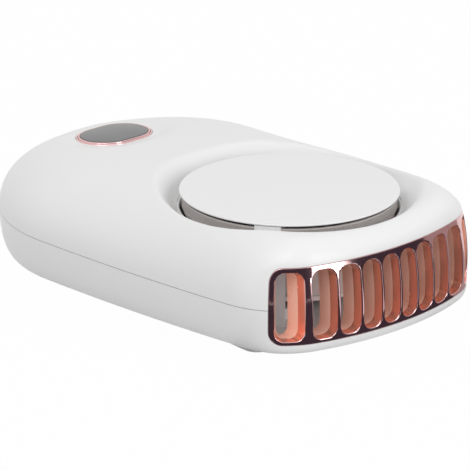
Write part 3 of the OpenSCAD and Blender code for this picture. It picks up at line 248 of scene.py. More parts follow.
class Form:
    """Plan outline and sections of the housing."""

    def __init__(self, s):
        self.s = s
        self.back_z = s.clip_t + s.clip_gap
        self.seam_z = self.back_z + s.seam_h
        self.face_z = self.back_z + s.body_h
        self.rim_z = self.back_z + s.rim_h
        self.land_z = self.rim_z - s.land_drop
        self.floor_z = self.back_z + s.wall
        self.grille_z0 = self.back_z + s.grille_low
        self.grille_z1 = self.grille_z0 + s.grille_h
        self.grille_mid = (self.grille_z0 + self.grille_z1) / 2
        self.full_z = self.grille_z0 + s.bulge_low
        self.bulge_r = ((s.grille_h - s.bulge_low) ** 2 + s.bulge ** 2) / (2 * s.bulge)
        self.front_y = -s.body_len / 2
        self.disc_y = self.front_y + s.intake_y
        self.front_cy = self.front_y + s.front_r
        self.turn_c = math.asin(s.corner_x / (s.front_r - s.corner_r))
        self.corner_cy = self.front_cy - (s.front_r - s.corner_r) * math.cos(self.turn_c)
        self.rear_cy = s.body_len / 2 - s.rear_r
        link = math.hypot(s.corner_x, self.rear_cy - self.corner_cy)
        link_a = math.atan2(self.corner_cy - self.rear_cy, s.corner_x)
        side_in, side_out = s.side_r - s.rear_r, s.side_r - s.corner_r
        side_a = link_a - math.acos((side_in ** 2 + link ** 2 - side_out ** 2) / (2 * side_in * link))
        self.side_c = (side_in * math.cos(side_a), self.rear_cy + side_in * math.sin(side_a))
        a0 = math.atan2(self.corner_cy - self.side_c[1], s.corner_x - self.side_c[0])
        a1 = math.atan2(self.rear_cy - self.side_c[1], -self.side_c[0])
        half = [(0.0, self.front_cy, s.front_r, -math.pi / 2 + self.turn_c * k / STEPS_FRONT)
                for k in range(STEPS_FRONT + 1)]
        corner_a = self.turn_c - math.pi / 2
        half += [(s.corner_x, self.corner_cy, s.corner_r, mix(corner_a, a0, k / STEPS_CORNER))
                 for k in range(1, STEPS_CORNER + 1)]
        half += [(self.side_c[0], self.side_c[1], s.side_r, mix(a0, a1, k / STEPS_SIDE))
                 for k in range(1, STEPS_SIDE + 1)]
        half += [(0.0, self.rear_cy, s.rear_r, mix(a1, math.pi / 2, k / STEPS_REAR))
                 for k in range(1, STEPS_REAR + 1)]
        full = half + [(-x, y, r, math.pi - a) for x, y, r, a in half[-2:0:-1]]
        self.stations = [(x, y, r, math.cos(a), math.sin(a)) + self.shares(a) for x, y, r, a in full]
        self.table = np.array([st[:5] for st in self.stations])
        self.droop_run = (s.body_len - s.intake_y - DROOP_FROM) * DROOP_RUN
        self.land_r = s.hole_r + LAND_W
        self.u_front = s.front_r * self.turn_c
        self.u_end = self.u_front + s.corner_r * (s.grille_turn - self.turn_c)
        self.button_cy = self.disc_y + s.button_y
        self.button_z = self.top_line(self.button_cy) - s.button_sink

    @staticmethod
    def shares(a):
        """How far a station belongs to the sides, and to the button end."""
        d = math.degrees(a)
        turned = 270 - d if d > 90 else d + 90
        return smooth((turned - SIDE_FROM) / (SIDE_TO - SIDE_FROM)), smooth((turned - 90) / REAR_TURN)

    def plan(self, st, inset):
        """Point of the plan outline at a station, moved inwards by an inset."""
        r = max(st[2] - inset, LEAST_R)
        return st[0] + r * st[3], st[1] + r * st[4]

    def edge_dist(self, x, y):
        """Distance of a point in plan from the outline."""
        t = self.table
        return float(((t[:, 0] - x) * t[:, 3] + (t[:, 1] - y) * t[:, 4] + t[:, 2]).min())

    def bulge_at(self, z):
        """Inset of the outlet face at a height."""
        d = self.bulge_r ** 2 - (z - self.full_z) ** 2
        return self.bulge_r - math.sqrt(max(0.0, d))

    def top_line(self, y):
        """Height of the face along the middle."""
        sink = self.s.rear_droop * max(0.0, (y - self.disc_y - DROOP_FROM) / self.droop_run) ** 2
        return self.face_z + self.s.crown_h - sink

    def pad(self, x, y, z, off):
        """Height of the skin, levelled to the button's own plane round the button."""
        s = self.s
        d = math.hypot(max(abs(x) - s.key_half_len + s.key_half_w, 0.0), y - self.button_cy)
        level = self.button_z - (y - self.button_cy) * math.tan(s.button_tilt) - PAD_LOW - off
        return mix(z, level, smooth(1 - (d - s.key_half_w - s.ring_w - PAD_EDGE) / PAD_RUN))

    def dish(self, r):
        """Height of the dished recess at a distance from the intake's axis."""
        t = (r - self.land_r - DISH_FOOT) / DISH_SOFT
        return self.land_z + DISH_SLOPE * DISH_SOFT * (math.log(1 + math.exp(t)) if t < STEEP else t)

    def land_point(self, st, r=None):
        """Point of the land, or of a circle round the intake, that belongs to a station."""
        x, y = self.plan(st, 0.0)
        d = math.hypot(x, y - self.disc_y)
        k = (r or self.land_r) / d
        return x * k, self.disc_y + (y - self.disc_y) * k

    def top_skin(self, st, t, wall_share, off, z_from):
        """Point of the upper skin: t runs from the seam (0) to the land round the intake (1)."""
        s = self.s
        lx, ly = self.land_point(st)
        if t <= wall_share:
            z = mix(z_from, self.grille_z1, t / wall_share)
            x, y = self.plan(st, off + self.bulge_at(z))
            front = (x, y, z)
        else:
            lip = off + self.bulge_at(self.grille_z1)
            x, y = self.plan(st, lip)
            e = (1 - math.cos(math.pi * (t - wall_share) / (1 - wall_share))) / 2
            x, y = mix(x, lx, e), mix(y, ly, e)
            d = self.edge_dist(x, y) - lip
            face = self.face_z - off - s.front_sag * max(0.0, 1 - (x / s.front_sag_w) ** 2)
            run = s.round_front + CORNER_ROUND * smooth((abs(x) - CORNER_FROM) / CORNER_RUN)
            front = (x, y, mix(self.grille_z1, face, rise(d / run, FRONT_POWER)))
        x, y = self.plan(st, off)
        e = (1 - math.cos(math.pi * t)) / 2
        x, y = mix(x, lx, e), mix(y, ly, e)
        fore = mix(FORE_RUN, s.round_side, smooth((y - FORE_FROM) / (FORE_TO - FORE_FROM)))
        run = mix(fore, s.round_rear, st[6])
        power = mix(SIDE_POWER, REAR_POWER, st[6])
        d = self.edge_dist(x, y) - off
        side = (x, y, self.pad(x, y, mix(z_from, self.top_line(y) - off, rise(d / run, power)), off))
        q = [mix(a, b, st[5]) for a, b in zip(front, side)]
        if t == 0:
            q[2] = z_from
        elif t == 1:
            q[2] = self.land_z - off
        else:
            q[2] = soft_min(q[2], self.dish(math.hypot(q[0], q[1] - self.disc_y)) - off, DISH_BLEND)
        return q

    def under_skin(self, st, t, wall_share, off, z_to):
        """Point of the lower skin: t runs from the back's edge (0) to the seam (1)."""
        s = self.s
        low = self.back_z + off
        run = mix(mix(s.under_front, s.under_side, st[5]), s.under_rear, st[6] * st[5])
        a = math.pi / 2 * (1 - t)
        side = (off + run * (1 - math.cos(a) ** (2 / UNDER_POWER)),
                mix(z_to, low, math.sin(a) ** (2 / UNDER_POWER)))
        if t >= 1 - wall_share:
            z = mix(self.grille_z0, z_to, (t - 1 + wall_share) / wall_share)
            front = (off + self.bulge_at(z), z)
        else:
            a = math.pi / 2 * (1 - wall_share - t) / (1 - wall_share)
            front = (off + self.bulge_at(self.grille_z0)
                     + s.under_front * (1 - math.cos(a) ** (2 / UNDER_POWER)),
                     mix(self.grille_z0, low, math.sin(a) ** (2 / UNDER_POWER)))
        inset, z = (mix(p, q, st[5]) for p, q in zip(front, side))
        x, y = self.plan(st, inset)
        return x, y, z

    def face_point(self, u, z, inset, straight=0.0):
        """Solid point of a place on the unrolled outlet face; straight turns the inset towards +Y."""
        s = self.s
        side, v = (-1 if u < 0 else 1), abs(u)
        if v <= self.u_front:
            cx, cy, r, a = 0, self.front_cy, s.front_r, v / s.front_r
        else:
            cx, cy, r = s.corner_x, self.corner_cy, s.corner_r
            a = self.turn_c + (v - self.u_front) / r
        r -= self.bulge_at(z)
        k = straight * (1 - smooth((v - STRAIGHT_TO * self.u_end) / (self.u_end * (1 - STRAIGHT_TO))))
        back = a * (1 - k)
        return Vector((side * (cx + r * math.sin(a) - inset * math.sin(back)),
                       cy - r * math.cos(a) + inset * math.cos(back), z))


# Mesh helpers

# Distances within which points are merged, or count as one
WELD = 1e-6
FINE_WELD = 1e-7
CUT_WELD = 2e-6
SAME_POINT = 1e-9
# Least change of volume that a cut or a join has to make
LEAST_VOLUME = 1e-12
# Fold in degrees from which an edge stays sharp
SHARP = 35.0
FULL_TURN = 360


def whole(bm):
    """Everything that a bmesh holds."""
    return bm.verts[:] + bm.edges[:] + bm.faces[:]


def weld(bm, dist=WELD):
    """Merges doubles."""
    bmesh.ops.remove_doubles(bm, verts=bm.verts, dist=dist)


def close_holes(bm):
    """Fills every open border."""
    bmesh.ops.holes_fill(bm, edges=[e for e in bm.edges if e.is_boundary], sides=0)


def split_at(bm, point, normal, dist=WELD, clear=False):
    """Splits a bmesh at a plane, and clears what lies beyond it if asked."""
    bmesh.ops.bisect_plane(bm, geom=whole(bm), plane_co=point, plane_no=normal, dist=dist, clear_outer=clear)


def round_edges(bm, edges, radius, steps):
    """Rounds edges."""
    bmesh.ops.bevel(bm, geom=edges, offset=radius, segments=steps, affect="EDGES", profile=0.5, material=-1)


def soften(bm, sharp):
    """Smooths all faces and marks the edges that stay sharp."""
    limit = math.radians(sharp)
    for f in bm.faces:
        f.smooth = True
    for e in bm.edges:
        e.smooth = len(e.link_faces) == 2 and e.calc_face_angle(0.0) < limit


def make(name, bm, sharp=SHARP):
    """Turns a bmesh into an object at the origin, welded and with its faces outwards."""
    weld(bm)
    bmesh.ops.recalc_face_normals(bm, faces=bm.faces)
    soften(bm, sharp)
    mesh = bpy.data.meshes.new(name)
    bm.to_mesh(mesh)
    bm.free()
    obj = bpy.data.objects.new(name, mesh)
    bpy.context.scene.collection.objects.link(obj)
    return obj


def grid(nu, nv, place, ring_u=False, ring_v=False):
    """Welded sheet of nu by nv steps whose points are placed by a rule of their step numbers."""
    bm = bmesh.new()
    bmesh.ops.create_grid(bm, x_segments=nu, y_segments=nv, size=0.5)
    xs = sorted({round(v.co.x, 6) for v in bm.verts})
    ys = sorted({round(v.co.y, 6) for v in bm.verts})
    nu, nv = len(xs) - 1, len(ys) - 1
    for v in bm.verts:
        i = min(range(nu + 1), key=lambda k: abs(xs[k] - v.co.x)) if nu < 3 else round((v.co.x + 0.5) * nu)
        j = round((v.co.y + 0.5) * nv)
        v.co = place(i % nu if ring_u else i, j % nv if ring_v else j)
    weld(bm, FINE_WELD)
    return bm


def loft(rows, ring):
    """Closed skin through one row of points per station."""
    bm = grid(len(rows), len(rows[0]) if ring else len(rows[0]) - 1, lambda i, j: rows[i][j], True, ring)
    if not ring:
        close_holes(bm)
    return bm


def volume(obj):
    """Volume inside an object's skin."""
    bm = bmesh.new()
    bm.from_mesh(obj.data)
    amount = bm.calc_volume()
    bm.free()
    return amount


def combine(obj, tool, how="DIFFERENCE"):
    """Cuts an object with a tool or joins the tool to it, and removes the tool."""
    before = volume(obj)
    mod = obj.modifiers.new("cut", "BOOLEAN")
    mod.operation = how
    mod.solver = "MANIFOLD"
    mod.object = tool
    bpy.context.view_layer.objects.active = obj
    bpy.ops.object.modifier_apply(modifier=mod.name)
    if abs(volume(obj) - before) < LEAST_VOLUME:
        raise RuntimeError(tool.name + " changed nothing on " + obj.name)
    bpy.data.objects.remove(tool, do_unlink=True)


def resmooth(obj, sharp=SHARP):
    """Marks the sharp edges again after cuts."""
    bm = bmesh.new()
    bm.from_mesh(obj.data)
    weld(bm, CUT_WELD)
    bmesh.ops.dissolve_degenerate(bm, edges=bm.edges, dist=CUT_WELD)
    soften(bm, sharp)
    bm.to_mesh(obj.data)
    bm.free()


def cylinder_bm(r, h, at, axis="Z", steps=64):
    """Closed cylinder centred on a point."""
    bm = bmesh.new()
    bmesh.ops.create_cone(bm, cap_ends=True, segments=steps, radius1=r, radius2=r, depth=h)
    turn = Matrix.Rotation(math.pi / 2, 4, "Y") if axis == "X" else Matrix()
    bmesh.ops.transform(bm, matrix=Matrix.Translation(at) @ turn, verts=bm.verts)
    return bm


def pill_outline(half_len, half_w, steps=20):
    """Points round a pill, with their outward normals."""
    straight = half_len - half_w
    out = []
    for side in (1, -1):
        for k in range(steps + 1):
            a = math.pi * k / steps - math.pi / 2
            n = side * Vector((math.cos(a), math.sin(a)))
            out.append((Vector((side * straight, 0)) + n * half_w, n))
    return out


def rounded_loop(u0, u1, z0, z1, r, steps):
    """Corner points of a rounded rectangle."""
    out = []
    corners = ((u1 - r, z0 + r, -90), (u1 - r, z1 - r, 0), (u0 + r, z1 - r, 90), (u0 + r, z0 + r, 180))
    for cx, cz, a0 in corners:
        for k in range(steps + 1):
            a = math.radians(a0 + 90 * k / steps)
            out.append((cx + r * math.cos(a), cz + r * math.sin(a)))
    return out


def flat_plate(loops, y0, y1):
    """Plate in X and Z from closed loops, the first outside and the rest holes, from y0 to y1."""
    bm = bmesh.new()
    for loop in loops:
        vs = [bm.verts.new((u, y0, z)) for u, z in loop]
        for a, b in zip(vs, vs[1:] + vs[:1]):
            if (a.co - b.co).length > SAME_POINT:
                bm.edges.new((a, b))
    weld(bm, FINE_WELD)
    bmesh.ops.triangle_fill(bm, use_beauty=True, use_dissolve=False, edges=bm.edges)
    new = bmesh.ops.extrude_face_region(bm, geom=bm.faces[:])["geom"]
    bmesh.ops.translate(bm, vec=(0, y1 - y0, 0), verts=[v for v in new if isinstance(v, bmesh.types.BMVert)])
    bmesh.ops.recalc_face_normals(bm, faces=bm.faces)
    return bm


def wrap(bm, form, step_u, step_z, straight=0.0):
    """Splits a flat plate finely and lays it round the outlet face: X is along it, Y is the inset."""
    u1 = max(v.co.x for v in bm.verts)
    z0, z1 = min(v.co.z for v in bm.verts), max(v.co.z for v in bm.verts)
    n = int(2 * u1 / step_u)
    for k in range(1, n):
        split_at(bm, (-u1 + 2 * u1 * k / n, 0, 0), (1, 0, 0))
    n = int((z1 - z0) / step_z)
    for k in range(1, n):
        split_at(bm, (0, 0, mix(z0, z1, k / n)), (0, 0, 1))
    for v in bm.verts:
        v.co = form.face_point(v.co.x, v.co.z, v.co.y, straight)


def show(obj, body, material, slot, *nodes):
    """Gives a piece its material and its body, and hides the solids that it stands for; the slot is not used.
    """
    if not any(obj.data.materials):
        obj.data.materials.clear()
        obj.data.materials.append(material)
    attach(obj, body)
    if nodes:
        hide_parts(*nodes)
    return obj


# Materials

# Fine grain, and the slow clouds that change colour and roughness
GRAIN_SCALE = 900.0
GRAIN_DEPTH = 0.00001
GRAIN_DETAIL = 3.0
CLOUD_SCALE = 40.0
CLOUD_DETAIL = 2.0
# Reach of red, green and blue light under a surface that glows, as shares of the depth
GLOW_REACH = (1.0, 0.9, 0.85)
GLOW_DEPTH = 0.002


def new_material(name):
    """Empty material with its nodes and links."""
    mat = bpy.data.materials.new(name)
    mat.use_nodes = True
    return mat, mat.node_tree.nodes, mat.node_tree.links


def grain_group():
    """Fine moulded or polished grain: a mask for colour and roughness, and a bumped normal."""
    group = bpy.data.node_groups.get("surface_grain")
    if group:
        return group
    group = bpy.data.node_groups.new("surface_grain", "ShaderNodeTree")
    for name, value in (("Scale", GRAIN_SCALE), ("Depth", GRAIN_DEPTH), ("Cloud Scale", CLOUD_SCALE)):
        sock = group.interface.new_socket(name, in_out="INPUT", socket_type="NodeSocketFloat")
        sock.default_value = value
    group.interface.new_socket("Mask", in_out="OUTPUT", socket_type="NodeSocketFloat")
    group.interface.new_socket("Normal", in_out="OUTPUT", socket_type="NodeSocketVector")
    nodes, links = group.nodes, group.links
    inputs, outputs = nodes.new("NodeGroupInput"), nodes.new("NodeGroupOutput")
    coord = nodes.new("ShaderNodeTexCoord")
    fine, cloud = nodes.new("ShaderNodeTexNoise"), nodes.new("ShaderNodeTexNoise")
    fine.inputs["Detail"].default_value = GRAIN_DETAIL
    cloud.inputs["Detail"].default_value = CLOUD_DETAIL
    bump = nodes.new("ShaderNodeBump")
    for noise, sock in ((fine, "Scale"), (cloud, "Cloud Scale")):
        links.new(coord.outputs["Object"], noise.inputs["Vector"])
        links.new(inputs.outputs[sock], noise.inputs["Scale"])
    links.new(fine.outputs["Fac"], bump.inputs["Height"])
    links.new(inputs.outputs["Depth"], bump.inputs["Distance"])
    links.new(cloud.outputs["Fac"], outputs.inputs["Mask"])
    links.new(bump.outputs["Normal"], outputs.inputs["Normal"])
    return group


def finish(name, base, rough, metallic=0.0, shift=0.03, rough_shift=0.04, scale=GRAIN_SCALE,
           depth=GRAIN_DEPTH, cloud=CLOUD_SCALE, subsurface=0.0, ior=1.5):
    """Material with grain, and slow changes of its colour and roughness."""
    mat = bpy.data.materials.get(name)
    if mat:
        return mat
    mat, nodes, links = new_material(name)
    shader = nodes["Principled BSDF"]
    shader.inputs["Metallic"].default_value = metallic
    shader.inputs["IOR"].default_value = ior
    if subsurface:
        shader.inputs["Subsurface Weight"].default_value = subsurface
        shader.inputs["Subsurface Radius"].default_value = GLOW_REACH
        shader.inputs["Subsurface Scale"].default_value = GLOW_DEPTH
    grain = nodes.new("ShaderNodeGroup")
    grain.node_tree = grain_group()
    grain.inputs["Scale"].default_value = scale
    grain.inputs["Depth"].default_value = depth
    grain.inputs["Cloud Scale"].default_value = cloud
    tint = nodes.new("ShaderNodeMix")
    tint.data_type = "RGBA"
    tint.inputs[6].default_value = tuple(c * (1 - shift) for c in base) + (1,)
    tint.inputs[7].default_value = tuple(min(1.0, c * (1 + shift)) for c in base) + (1,)
    links.new(grain.outputs["Mask"], tint.inputs[0])
    links.new(tint.outputs[2], shader.inputs["Base Color"])
    ramp = nodes.new("ShaderNodeMapRange")
    ramp.inputs["To Min"].default_value = max(0.0, rough - rough_shift)
    ramp.inputs["To Max"].default_value = min(1.0, rough + rough_shift)
    links.new(grain.outputs["Mask"], ramp.inputs["Value"])
    links.new(ramp.outputs["Result"], shader.inputs["Roughness"])
    links.new(grain.outputs["Normal"], shader.inputs["Normal"])
    return mat


def fan_finishes():
    """All finishes of the fan, by name."""
    c = bpy.context.scene.fan_colours
    return {
        "shell": finish("white_shell", c.shell, 0.36, shift=0.008, depth=0.000006, scale=1400),
        "cover": finish("white_cover", c.shell, 0.33, shift=0.008, depth=0.000006, scale=1400),
        "guard": finish("smoky_guard", c.guard, 0.4, shift=0.02, depth=0.000004),
        "chrome": finish("rose_plating", c.chrome, 0.09, metallic=1.0, rough_shift=0.03, depth=0.000001,
                         cloud=120),
        # Redder, less metallic copy of the plating on the slot walls: painted reflection
        "copper": finish("slot_walls_painted_reflection", c.copper, 0.24, metallic=0.7, rough_shift=0.08, depth=0.000004,
                         cloud=160),
        # Paler, nearly unmetallic copy of the plating deep in the slots: painted light
        "slot_depth_painted_light": finish("slot_depths_painted_light", c.slot_depth_painted_light, 0.3, metallic=0.15, rough_shift=0.08,
                              depth=0.000004, cloud=160),
        "key": finish("grey_key", c.key, 0.2, shift=0.02, rough_shift=0.04, depth=0.000002, ior=1.45),
        "clip": finish("pale_clip", c.clip, 0.42, shift=0.02, depth=0.000012, subsurface=0.35),
        "wheel": finish("pale_wheel", c.wheel, 0.5, shift=0.05, depth=0.00001),
        "steel": finish("polished_steel", c.steel, 0.25, metallic=1.0, rough_shift=0.08, depth=0.000003),
        "board": finish("board_lacquer", c.board, 0.3, shift=0.12, scale=2500, depth=0.000008, cloud=300),
        "bronze": finish("sintered_bronze", c.bronze, 0.4, metallic=1.0, scale=3000, depth=0.00001),
        "winding": finish("enamelled_wire", c.winding, 0.3, metallic=0.8, scale=2600, depth=0.00002),
        "dark": finish("dark_plastic", c.dark, 0.5, shift=0.1, depth=0.00001),
        "foil": finish("battery_foil", c.foil, 0.35, metallic=0.9, scale=300, depth=0.00006),
        "lead": finish("lead_sleeve", c.lead, 0.45, shift=0.06, depth=0.000006),
    }


SOLID_FINISHES = {
    "key_plunger": "dark", "key_switch": "dark", "main_board": "board", "charge_socket": "steel",
    "control_chips": "dark", "boost_coil": "dark", "battery_cell": "foil", "battery_pad": "dark",
    "battery_leads": "lead", "motor_leads": "lead", "fan_wheel": "wheel", "rotor_cup": "steel",
    "rotor_magnet": "dark", "motor_shaft": "steel", "shaft_clip": "steel", "bearing_upper": "bronze",
    "bearing_lower": "bronze", "stator_core": "steel", "stator_coils": "winding", "motor_base": "dark",
    "motor_board": "board", "motor_screws": "steel", "board_screws": "steel", "case_screws": "steel",
    "clip_pin": "steel", "clip_spring": "steel",
}


# Pieces

# Cutter of the outlet's opening: its overruns and the steps along and up the face
CUT_FRONT = 0.004
CUT_BACK = 0.001
CUT_STEP_U = 0.0012
CUT_STEP_Z = 0.002
# Broken edge of the intake's lip, and the depth and height of the cutter for the button
LIP_EDGE = 0.00025
BUTTON_CUT = 0.006
BUTTON_CUT_H = 0.009
SKIN_SHARP = 32


def outlet_cutter(form):
    """Tool that follows the outlet face and opens both shells for the grille."""
    g = FIT_GAP
    loop = rounded_loop(-form.u_end - g, form.u_end + g, form.grille_z0 - g, form.grille_z1 + g,
                        form.s.frame_r + g, 12)
    bm = flat_plate([loop], -CUT_FRONT, form.s.grille_depth + CUT_BACK)
    wrap(bm, form, CUT_STEP_U, CUT_STEP_Z)
    return make("outlet_cutter", bm)


def at_button(form, x, y, z):
    """Place on the button, from its own tilted frame."""
    t = form.s.button_tilt
    return (x, form.button_cy + y * math.cos(t) + z * math.sin(t),
            form.button_z - y * math.sin(t) + z * math.cos(t))


class FAN_OT_top_shell(bpy.types.Operator):
    """Models the upper shell with its dished recess, its lip and its cuts"""
    bl_idname = "fan.top_shell"
    bl_label = "Top shell"

    def execute(self, context):
        form = Form(sizes())
        s = form.s
        n, n_in, wall_share = 64, 24, 0.2
        rebate_z = form.seam_z + TONGUE_H + SEAM_GAP
        low = form.seam_z + SEAM_GAP
        rows = []
        for st in form.stations:
            lip = form.land_point(st, s.hole_r)
            edge = form.land_point(st, s.hole_r + LIP_EDGE)
            nx, ny = form.plan(st, s.wall / 2 - FIT_GAP)
            rows.append(
                [form.top_skin(st, k / n, wall_share, 0.0, low) for k in range(n + 1)]
                + [(*edge, form.land_z), (*lip, form.land_z - LIP_EDGE), (*lip, form.land_z - s.wall)]
                + [form.top_skin(st, k / n_in, wall_share, s.wall, rebate_z) for k in range(n_in, -1, -1)]
                + [(nx, ny, rebate_z), (nx, ny, low)])
        obj = make("top_shell_skin", loft(rows, True))
        combine(obj, outlet_cutter(form))
        half_len = s.key_half_len + s.ring_w + 2 * FIT_GAP
        half_w = s.key_half_w + s.ring_w + 2 * FIT_GAP
        outline = pill_outline(half_len, half_w, 32)
        hole = grid(len(outline), 1,
                    lambda i, j: at_button(form, *outline[i][0], BUTTON_CUT_H * j - BUTTON_CUT), True)
        close_holes(hole)
        combine(obj, make("button_hole", hole))
        resmooth(obj, SKIN_SHARP)
        show(obj, "housing", fan_finishes()["shell"], "white_plastic", "top_shell")
        return {"FINISHED"}


class FAN_OT_bottom_shell(bpy.types.Operator):
    """Models the lower shell with its blower wall, screw seats, lanyard bars and hinge ears"""
    bl_idname = "fan.bottom_shell"
    bl_label = "Bottom shell"

    def execute(self, context):
        form = Form(sizes())
        s = form.s
        n, n_in, wall_share = 36, 20, 0.3
        rows = []
        for st in form.stations:
            nx, ny = form.plan(st, s.wall / 2)
            tx, ty = form.plan(st, s.wall)
            rows.append(
                [form.under_skin(st, k / n, wall_share, 0.0, form.seam_z) for k in range(n + 1)]
                + [(nx, ny, form.seam_z), (nx, ny, form.seam_z + TONGUE_H), (tx, ty, form.seam_z + TONGUE_H)]
                + [form.under_skin(st, k / n_in, wall_share, s.wall, form.seam_z)
                   for k in range(n_in, -1, -1)])
        obj = make("bottom_shell_skin", loft(rows, False))
        for tool, how in bottom_tools(form):
            combine(obj, tool, how)
        combine(obj, outlet_cutter(form))
        resmooth(obj, SKIN_SHARP)
        show(obj, "housing", fan_finishes()["shell"], "white_plastic", "bottom_shell")
        return {"FINISHED"}


# Blower wall: it leaves the wheel by a gap that grows from its first angle to its last
WHEEL_R = 0.0252
SCROLL_GAP = 0.0024
SCROLL_GROW = 0.0027
SCROLL_T = 0.0012
SCROLL_TOP = 0.0203
SCROLL_A0 = 224.0
SCROLL_A1 = -38.0
SCROLL_STEPS = 80
# Case screws: heads, seats, bosses, places and bores
CASE_HEAD_R = 0.0019
CASE_SEAT = 0.003
CASE_FOOT_R = 0.0031
CASE_JOIN = 0.0022
CASE_FRONT_Y = 0.0066
CASE_IN = 0.0059
CASE_TURN = 53.5
CASE_BORE_R = 0.0011
CASE_BORE_L = 0.02
CASE_BORE_AT = 0.009
HEAD_GAP = 0.0002
SEAT_OVER = 0.001
# Hinge of the clip: its place, knuckles, ears and pin
HINGE_FROM = 0.0133
KNUCKLE_R = 0.0019
KNUCKLE_W = 0.0036
KNUCKLE_X = 0.0061
EAR_W = 0.003
EAR_CUT = 0.004
PIN_R = 0.001
# Depth to which joined pieces run into each other
ROOT = 0.00045
# Pockets in the back, the roofs over them and the lanyard bars across them
POCKET_SIZE = (0.006, 0.005, 0.0044)
POCKET_TOP = 0.0034
POCKET_R = 0.001
POCKET_X = 0.003
POCKET_Y = 0.0025
ROOF_SIZE = (0.0084, 0.0074, 0.0028)
LANYARD_R = 0.0009
LANYARD_L = 0.0068
# Mouth of the charging socket
SOCKET_W = 0.0089
SOCKET_H = 0.0032
SOCKET_GAP = 0.00025
MOUTH_OUT = 0.001
MOUTH_DEEP = 0.0038
# Steps round a cylinder, and the least rise of an edge that counts as upright
ROUND_STEPS = 48
UPRIGHT_RISE = 0.001


def case_places(form):
    """Places of the four case screws in plan."""
    s = form.s
    front = (s.corner_x + s.corner_r - s.wall - CASE_HEAD_R - HEAD_GAP, form.corner_cy + CASE_FRONT_Y)
    a, r = math.radians(CASE_TURN), s.rear_r - CASE_IN
    rear = (r * math.cos(a), form.rear_cy + r * math.sin(a))
    return [(side * x, y) for x, y in (front, rear) for side in (-1, 1)]


def hinge_at(form):
    """Place of the clip's hinge in Y and Z."""
    return (form.front_y + form.s.clip_y + HINGE_FROM, form.s.clip_t + NEAR_GAP + KNUCKLE_R)


def block(w, l, h, at):
    """Box with its middle at a point."""
    bm = bmesh.new()
    bmesh.ops.create_cube(bm, size=1.0)
    bmesh.ops.scale(bm, vec=(w, l, h), verts=bm.verts)
    bmesh.ops.translate(bm, vec=at, verts=bm.verts)
    return bm


def upright_edges(bm):
    """Edges that run up and down."""
    return [e for e in bm.edges if abs(e.verts[0].co.z - e.verts[1].co.z) > UPRIGHT_RISE]


def bottom_tools(form):
    """Pieces that are joined to or cut from the lower shell."""
    s = form.s
    back, floor = form.back_z, form.floor_z
    hy, hz = hinge_at(form)
    ear_x = KNUCKLE_X + KNUCKLE_W / 2 + NEAR_GAP + EAR_W / 2
    top = back + SCROLL_TOP
    arc = []
    for k in range(SCROLL_STEPS + 1):
        a = math.radians(mix(SCROLL_A0, SCROLL_A1, k / SCROLL_STEPS))
        r = WHEEL_R + SCROLL_GAP + SCROLL_GROW * k / SCROLL_STEPS
        arc.append([(q * math.cos(a), form.disc_y + q * math.sin(a)) for q in (r, r + SCROLL_T)])
    low = floor - ROOT
    corners = ((0, low), (1, low), (1, top), (0, top))
    scroll = grid(SCROLL_STEPS, 4, lambda i, j: arc[i][corners[j % 4][0]] + (corners[j % 4][1],), False, True)
    close_holes(scroll)
    tools = []

    def tool(name, bm, how="DIFFERENCE"):
        tools.append((make(name, bm), how))

    tool("scroll_wall", scroll, "UNION")
    for x, y in case_places(form):
        h = back + CASE_SEAT + CASE_JOIN - low
        tool("boss", cylinder_bm(CASE_FOOT_R, h, (x, y, low + h / 2), steps=ROUND_STEPS), "UNION")
    for side in (-1, 1):
        at = (side * ear_x, hy, hz)
        h = back - hz + ROOT
        tool("ear", cylinder_bm(KNUCKLE_R, EAR_W, at, "X", ROUND_STEPS), "UNION")
        tool("ear_web", block(EAR_W, 2 * KNUCKLE_R, h, (side * ear_x, hy, hz + h / 2)), "UNION")
        tool("ear_bore", cylinder_bm(PIN_R, EAR_CUT, at, "X", ROUND_STEPS))
        x, y = side * (s.corner_x + POCKET_X), form.corner_cy + POCKET_Y
        w, l, h = ROOF_SIZE
        tool("pocket_roof", block(w, l, h + ROOT, (x, y, low + h / 2 + ROOT / 2)), "UNION")
        w, l, h = POCKET_SIZE
        pocket = block(w, l, h, (x, y, back + POCKET_TOP - h / 2))
        round_edges(pocket, upright_edges(pocket), POCKET_R, 6)
        tool("pocket", pocket)
        tool("lanyard_bar", cylinder_bm(LANYARD_R, LANYARD_L, (x, y, back + LANYARD_R), "X", 40), "UNION")
    for x, y in case_places(form):
        seat_z = back + CASE_SEAT / 2 - SEAT_OVER / 2
        tool("seat", cylinder_bm(CASE_HEAD_R + HEAD_GAP, CASE_SEAT + SEAT_OVER, (x, y, seat_z),
                                 steps=ROUND_STEPS))
        tool("bore", cylinder_bm(CASE_BORE_R, CASE_BORE_L, (x, y, back + CASE_BORE_AT), steps=32))
    outline = pill_outline(SOCKET_W / 2 + SOCKET_GAP, SOCKET_H / 2 + SOCKET_GAP, 16)
    mouth_y = s.body_len / 2 + MOUTH_OUT
    mouth = grid(len(outline), 1, lambda i, j: (outline[i][0][0], mouth_y - MOUTH_DEEP * j,
                                                form.seam_z + outline[i][0][1]), True)
    close_holes(mouth)
    tool("socket_mouth", mouth)
    return tools


# Depth of the bright face, and the fold in radians from which an edge counts as square
RIM_DEPTH = 0.0003
FOLD = 1.2
# Room between a slot's rounded corners, and the rounding of the slots' and the frame's front edges
SLOT_SPARE = 0.0001
SLOT_EDGE = 0.00026
FRAME_EDGE = 0.00012
# Steps along and up the face
GRILLE_STEP_U = 0.0007
GRILLE_STEP_Z = 0.0012
# Share of the frame's border within which an edge belongs to the frame's outline
BORDER_SHARE = 0.75


